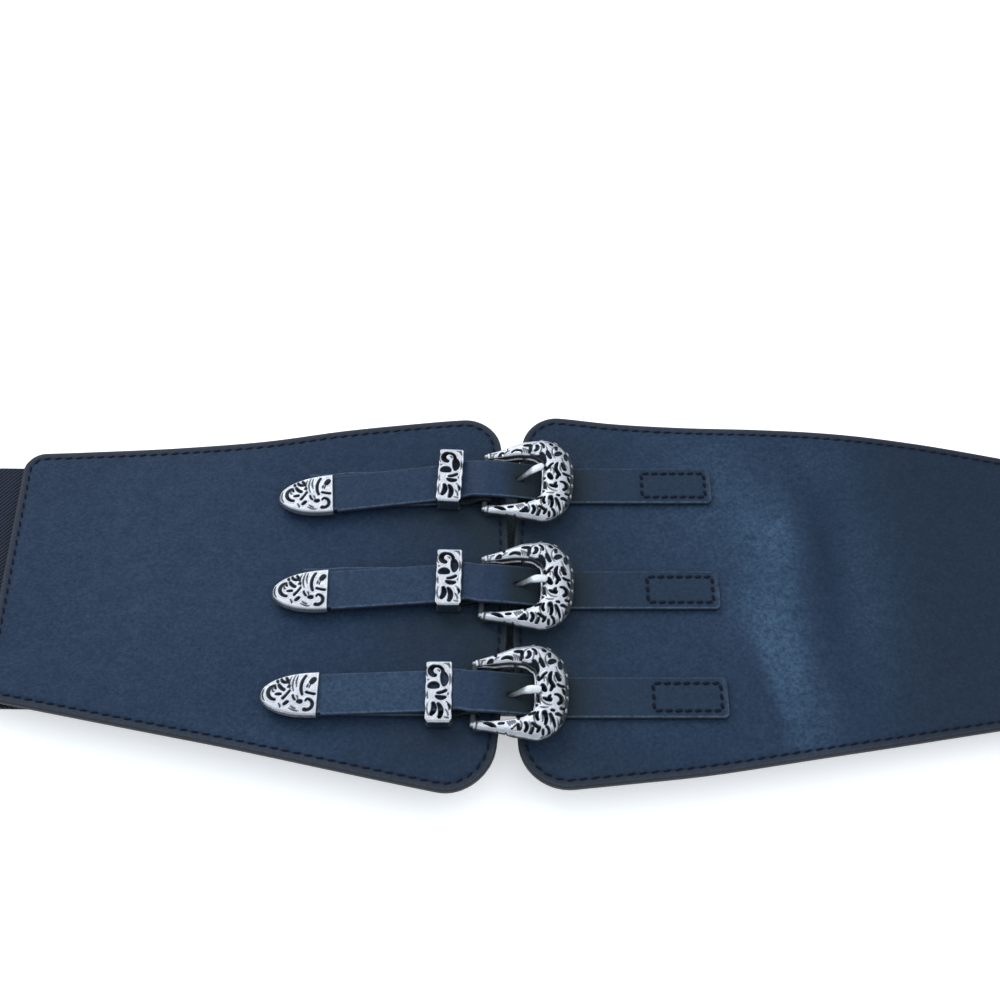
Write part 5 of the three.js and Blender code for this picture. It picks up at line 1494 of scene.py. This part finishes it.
# %% Bar and the three buckles
def rod(start, end, radii, sides=20):
    """A closed rod along Y: rings of the given (share, radius) rows, with a point at each end."""
    shares, sizes = np.array(radii, float).T
    angle = np.arange(sides) * 2 * np.pi / sides
    y = start + (end - start) * shares
    x, z = sizes[:, None] * np.cos(angle), sizes[:, None] * np.sin(angle)
    rings = as_points(x, y[:, None], z)
    return np.concatenate([rings, [[0, y[0], 0], [0, y[-1], 0]]]), tube_faces(len(y), sides)


def outward(points, faces):
    """Turns a closed skin so that its volume, the sum of a . (b x c) / 6 over its triangles, is above
    zero."""
    a, b, c = points[faces[:, 0]], points[faces[:, 1]], points[faces[:, 2]]
    return faces if (a * np.cross(b, c)).sum() > 0 else faces[:, ::-1]


BAR_ROWS = [
    (0, 0.7), (0.006, 0.95), (0.02, 1.02), (0.045, 1.0), (0.06, 0.82), (0.08, 1.0), (0.5, 1.0),
    (0.92, 1.0), (0.94, 0.82), (0.955, 1.0), (0.98, 1.02), (0.994, 0.95), (1, 0.7),
]
BAR_KNOB = 0.6
bar_points, bar_faces = rod(-ARM_END_Y - BAR_KNOB, ARM_END_Y + BAR_KNOB, BAR_ROWS)
bar_points = bar_points + [0, 0, BAR_HEIGHT]
bar_from = len(frame_points)
flange_from = bar_from + len(bar_points)
buckle_points = np.concatenate([frame_points, bar_points, flange_points])
buckle_faces = np.concatenate([
    outward(frame_points, frame_faces), outward(bar_points, bar_faces) + bar_from,
    outward(flange_points, flange_faces) + flange_from,
])
bar_black = 1.0 - 0.75 * ease(np.abs(bar_points[:, 1]), ARM_END_Y - 0.9, ARM_END_Y - 0.1)
buckle_black = np.concatenate([frame_black, bar_black, flange_black])
for name, row in ROWS.items():
    placed = turn_about(buckle_points, row["frame_tilt"], (row["bar_x"], row["frame_y"], PANEL_TOP))
    marks = {"recess": buckle_black}
    piece = add_piece(name + "_buckle_casting", placed, buckle_faces, silver, marks)
    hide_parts(name + "_buckle_frame")

# %% [markdown]
# A keeper is a flat band of metal bent into a ring round both straps, with its pierced face up. The
# grid goes round the ring and across it. Only the top face is fine, because only it is pierced.

# %% Keepers
KEEPER_WIDTH, KEEPER_WALL, KEEPER_CORNER, CORNER_STEPS = 22.0, 0.8, 1.2, 9
KEEPER_HALF, EDGE_WAVE, EDGE_WAVE_LENGTH, KEEPER_PLAIN_HALF = 4.31, 0.09, 5.2, 4.3
# The third value on the next line is black painted shade on the keeper's sides and underside.
KEEPER_NARROWER, KEEPER_LINE_SHADE, KEEPER_SIDE_BLACK, KEEPER_DULL = 0.03, 0.65, 0.82, 0.07


def straight_side(start, end, steps, normal):
    """A straight side of the ring as rows (y, z, normal y, normal z), at equal steps."""
    y, z = (np.linspace(first, last, steps) for first, last in zip(start, end))
    return np.column_stack([y, z, np.tile(normal, (steps, 1))])


def keeper_ring(top):
    """The ring's cross-section at stations: a rounded rectangle with its outward normal. It runs over
    the top towards -Y, down, back underneath and up, with a quarter circle after each side."""
    half, low, r = KEEPER_WIDTH / 2, GAP, KEEPER_CORNER
    left, right, under, over = -half + r, half - r, low + r, top - r
    sides = [
        straight_side((right, top), (left, top), 150, (0, 1)),
        straight_side((-half, over), (-half, under), 6, (-1, 0)),
        straight_side((left, low), (right, low), 24, (0, -1)),
        straight_side((half, under), (half, over), 6, (1, 0)),
    ]
    centres = [(left, over), (left, under), (right, under), (right, over)]
    rows = []
    for turn, (side, (y, z)) in enumerate(zip(sides, centres)):
        angle = np.radians(np.linspace(90 * turn + 90, 90 * turn + 180, CORNER_STEPS))[1:-1]
        cos, sin = np.cos(angle), np.sin(angle)
        rows += [side, np.stack([y + r * cos, z + r * sin, cos, sin], 1)]
    return np.concatenate(rows)


def keeper_shell(top):
    """The pierced ring in its own place, with its middle at x = 0, y = 0. Its two long edges wave a little,
    as on the casting: the half length is 4.31 + 0.09 cos(2 pi (y - 1) / 5.2). The side that faces the
    camera is polished; the other one and the underside get black painted shade."""
    y, z, ny, nz = keeper_ring(top).T
    across = np.linspace(-1, 1, 61)[None, :]
    on_top = (nz > 0.99)
    waved = KEEPER_HALF + EDGE_WAVE * np.cos(2 * np.pi * (y - 1) / EDGE_WAVE_LENGTH)
    half = np.where(on_top, waved, KEEPER_PLAIN_HALF)
    half = (half - 0.6 * ease(np.abs(y), 9.9, 10.9))[:, None]
    x = half * across
    y, z, ny, nz, on_top = (values[:, None] for values in (y, z, ny, nz, on_top))
    side = half - np.abs(x)
    pierced = np.maximum(stroke_distance(x, y + 0 * x, KEEPER_GAPS) + KEEPER_NARROWER, BORDER - side)
    gap = np.where(on_top, pierced, FAR_AWAY)
    engraved = np.where(on_top, stroke_distance(x, y + 0 * x, KEEPER_LINES, 21), FAR_AWAY)
    relief, black = cast_relief(np.minimum(gap, side + EDGE_AWAY), engraved, KEEPER_LINE_SHADE)
    polish = ease(-ny, 0.6, 0.95) + 0 * x
    aside = KEEPER_SIDE_BLACK * ease(1 - nz, 0.35, 0.9) * (1 - polish)
    black = np.clip(black + aside + KEEPER_DULL, 0, 1)
    outer, inner = (as_points(x, y - ny * depth, z - nz * depth) for depth in (relief, KEEPER_WALL))
    layers = [outer, inner, black.ravel(), polish.ravel()]
    (outer, inner, black, polish), faces = cut_out(layers, grid_faces(*x.shape, closed=True), gap.ravel())
    points, faces = close_wall(outer, inner, faces)
    marks = {
        "recess": np.concatenate([black, np.full(len(black), 0.9)]),
        "polish": np.concatenate([polish, 0 * polish]),
    }
    return points, outward(points, faces), marks


for name, row in ROWS.items():
    points, faces, marks = keeper_shell(row["keeper_top"])
    placed = turn_about(points, row["keeper_tilt"], (row["keeper_x"], row["keeper_y"], PANEL_TOP))
    piece = add_piece(name + "_keeper_casting", placed, faces, silver, marks)
    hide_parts(name + "_keeper")

# %% [markdown]
# The tip is a flat metal thimble over the strap's end: a pierced, slightly domed roof, round sides
# and a plain floor. The grid goes from its mouth to its nose and round its cross-section, and its
# inner skin is the same shape, smaller by the wall.

# %% Strap tips
TIP_LENGTH, TIP_HALF, TIP_WALL, TIP_FLOOR, TIP_ROOF = 19.5, 7.75, 0.7, 1.8, 5.6
TIP_SKEW, TIP_DOME, TIP_CORNER = 0.45, 0.4, 0.75
# The fourth value on the next line is black painted shade down the tip's sides.
TIP_NARROWER, TIP_BORDER, TIP_LINE_SHADE, TIP_SIDE_BLACK, TIP_DULL = 0.06, 0.2, 0.7, 0.85, 0.12


def tip_skin(inset, shares, roof_steps=84, corner_steps=14, floor_steps=20):
    """One skin of the tip at stations from mouth to nose. The cross-section is a flat loop with round
    corners: the roof from +Y to -Y, a corner, the floor back, a corner. The roof is domed by
    1 - (y / half)^2, which fades out towards the nose. Returns the points, and whether each lies on
    the roof."""
    length = TIP_LENGTH - inset
    along = shares[:, None]
    half = np.maximum((TIP_HALF - inset) * bullet(along), 0.02)
    blunt = 1 - along**40
    roof, floor_z = TIP_ROOF - TIP_DOME - inset, TIP_FLOOR + inset
    middle, tall = (roof + floor_z) / 2, (roof - floor_z) / 2
    corner = np.minimum(TIP_CORNER, half * 0.8)
    flat = half - corner
    y_roof, y_floor = np.linspace(1, -1, roof_steps), np.linspace(-1, 1, floor_steps)
    angle = np.radians(np.linspace(90, 270, corner_steps))[1:-1]
    bend = np.sign(np.sin(angle)) * np.abs(np.sin(angle)) ** 0.6
    aside = corner * np.cos(angle)
    y = np.concatenate([flat * y_roof, -flat + aside, flat * y_floor, flat - aside], 1)
    z = np.concatenate([np.full(roof_steps, tall), tall * bend, np.full(floor_steps, -tall), -tall * bend])
    dome = TIP_DOME * np.clip(1 - (y / np.maximum(half, 0.05)) ** 2, 0, 1) * (1 - along**2) * (z > 0)
    x = -length * along + TIP_SKEW * (y / TIP_HALF - 1) * (1 - along)
    on_roof = np.broadcast_to(np.arange(y.shape[1]) < roof_steps, y.shape)
    return np.stack([x, y, middle + z * blunt + dome * blunt], -1), on_roof


def tip_shell():
    """The tip as a closed wall: its roof is pierced, its mouth is open, and its nose is closed by a fan of
    triangles round the last ring's middle. Black painted shade eases in down its sides."""
    round_nose = 1 - 0.1 * (1 - np.sin(np.linspace(0, np.pi / 2, 20)[1:]))
    shares = np.concatenate([np.linspace(0, 0.9, 92), round_nose])
    shares[-1] = 0.9998
    outer, on_roof = tip_skin(0.0, shares)
    inner, _ = tip_skin(TIP_WALL, shares)
    x, y = outer[..., 0], outer[..., 1]
    engraved = np.where(on_roof, stroke_distance(x, y, TIP_LINES, 21), FAR_AWAY)
    mouth = TIP_LENGTH * shares[:, None] + 0 * y
    side = np.minimum(mouth, TIP_HALF * bullet(shares)[:, None] - np.abs(y))
    pierced = np.maximum(stroke_distance(x, y, TIP_GAPS) + TIP_NARROWER, BORDER + TIP_BORDER - side)
    gap = np.where(on_roof, pierced, FAR_AWAY)
    relief, black = cast_relief(np.minimum(gap, mouth + EDGE_AWAY), engraved, TIP_LINE_SHADE)
    low = np.clip((TIP_ROOF - TIP_DOME - outer[..., 2]) / (TIP_ROOF - TIP_FLOOR), 0, 1)
    black = np.clip(black + TIP_SIDE_BLACK * ease(low, 0.3, 0.8) + TIP_DULL, 0, 1)
    outer = outer - np.stack([0 * relief, 0 * relief, relief * on_roof], -1)
    rows, columns = y.shape
    order = np.arange(rows * columns).reshape(rows, columns).T.ravel()
    faces = order[grid_faces(columns, rows, closed=True)]
    layers = [outer.reshape(-1, 3), inner.reshape(-1, 3), black.ravel()]
    (outer, inner, black), faces = cut_out(layers, faces, gap.ravel())
    nose = np.arange((rows - 1) * columns, rows * columns)
    fan = np.stack([nose, np.roll(nose, -1), np.full(columns, len(outer))], 1)
    outer = np.concatenate([outer, outer[nose].mean(0)[None]])
    inner = np.concatenate([inner, inner[nose].mean(0)[None]])
    points, faces = close_wall(outer, inner, np.concatenate([faces, fan]))
    black = np.concatenate([black, [0.0]])
    return points, outward(points, faces), np.concatenate([black, np.full(len(black), 0.9)])


tip_points, tip_faces, tip_black = tip_shell()
for name, row in ROWS.items():
    y, _ = billet_lie(row, np.array([row["tip_x"]]))
    placed = turn_about(tip_points, row["tilt"], (row["tip_x"], float(y[0]), PANEL_TOP))
    piece = add_piece(name + "_tip_casting", placed, tip_faces, silver, {"recess": tip_black})
    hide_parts(name + "_strap_tip")

# %% [markdown]
# The prong is one bar of metal, curled round the buckle's bar and then straight: a narrow neck that
# comes up through the strap's hole and a flat paddle that rests on the bow. It is a rounded
# rectangle carried along that path.

# %% Prongs
# PRONG_LINE is the shaft, as (share of the way to its end, height over the panel, half width).
PRONG_LINE = [
    (0.17, 3.3, 0.9), (0.28, 3.2, 0.8), (0.4, 3.3, 0.75), (0.47, 3.5, 0.75), (0.54, 4.1, 0.8),
    (0.62, 5.25, 0.85), (0.7, 6.6, 0.95), (0.78, 7.65, 1.2), (0.84, 8.15, 1.5), (0.94, 8.6, 1.5),
    (1.01, 8.8, 1.35), (1.04, 8.85, 0.8),
]
PRONG_CURL, CURL_STEPS, CURL_HALF_WIDTH, PRONG_HALF_HEIGHT, PRONG_SIDES = 1.8, 30, 1.25, 0.5, 28
PRONG_END = 1.2
# PRONG_BLACK is painted shade, as (x from the bar, black): black round the bar and through the strap's
# hole, fading out before the paddle.
PRONG_BLACK = [(0, 1.0), (3, 1.0), (11, 0.95), (13.5, 0.74), (16, 0.5), (17.5, 0.05)]


def signed_power(value, power):
    """|v|^p with v's sign: it squares a circle's sine and cosine off into a rounded rectangle."""
    return np.sign(value) * np.abs(value) ** power


def add_prong(name, row):
    """One prong: a curl of radius 1.8 round the bar, then the shaft's table, read smoothly at stations
    that crowd at the end. The cross-section lies in the plane of Y and of the path's normal."""
    angle = np.radians(np.linspace(-25, -318, CURL_STEPS))
    curl = np.stack([
        PRONG_CURL * np.cos(angle), BAR_HEIGHT + PRONG_CURL * np.sin(angle),
        np.full(CURL_STEPS, CURL_HALF_WIDTH)], 1)
    shaft = np.array([(share * row["prong_x"], z, half) for share, z, half in PRONG_LINE])
    rows = np.concatenate([curl, shaft])
    length = travelled(rows[:, :2])
    end_from = length[-1] - PRONG_END
    round_end = end_from + PRONG_END * np.sin(np.linspace(0, np.pi / 2, 12)[1:])
    at = np.concatenate([np.linspace(0, end_from, 120), round_end])
    x, z, half = (read_smooth(np.stack([length, values], 1), at) for values in rows.T)
    dx, dz = np.gradient(x, at), np.gradient(z, at)
    size = np.hypot(dx, dz)
    nx, nz = -dz / size, dx / size
    turn = np.arange(PRONG_SIDES) * 2 * np.pi / PRONG_SIDES
    cy, cz = signed_power(np.cos(turn), 0.55), signed_power(np.sin(turn), 0.7)
    y = prong_y(row, np.clip(x, 0, None))[:, None] + half[:, None] * cy
    y = np.where(at[:, None] < length[CURL_STEPS - 1], row["chape_y"] + half[:, None] * cy, y)
    px = row["bar_x"] + x[:, None] + nx[:, None] * cz * PRONG_HALF_HEIGHT
    pz = PANEL_TOP + z[:, None] + nz[:, None] * cz * PRONG_HALF_HEIGHT
    grid = as_points(px, y, pz)
    points = np.concatenate([grid, grid[:PRONG_SIDES].mean(0)[None], grid[-PRONG_SIDES:].mean(0)[None]])
    faces = outward(points, tube_faces(len(at), PRONG_SIDES))
    black = np.interp(points[:, 0] - row["bar_x"], *np.array(PRONG_BLACK).T)
    piece = add_piece(name + "_prong_bar", points, faces, silver, {"recess": black})
    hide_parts(name + "_prong")


for name, row in ROWS.items():
    add_prong(name, row)

# %% [markdown]
# A panel's cut isn't a rectangle, so its area comes from the shoelace sum of its outline.

def shoelace(ring):
    """Area inside a closed line: half the sum of x_i y_(i+1) - x_(i+1) y_i."""
    x, y = ring.T
    return abs((x * np.roll(y, -1) - np.roll(x, -1) * y).sum()) / 2


for name in PANELS:
    ring = outlines[name]
    shoelace(ring) * MM * MM

# %% [markdown]
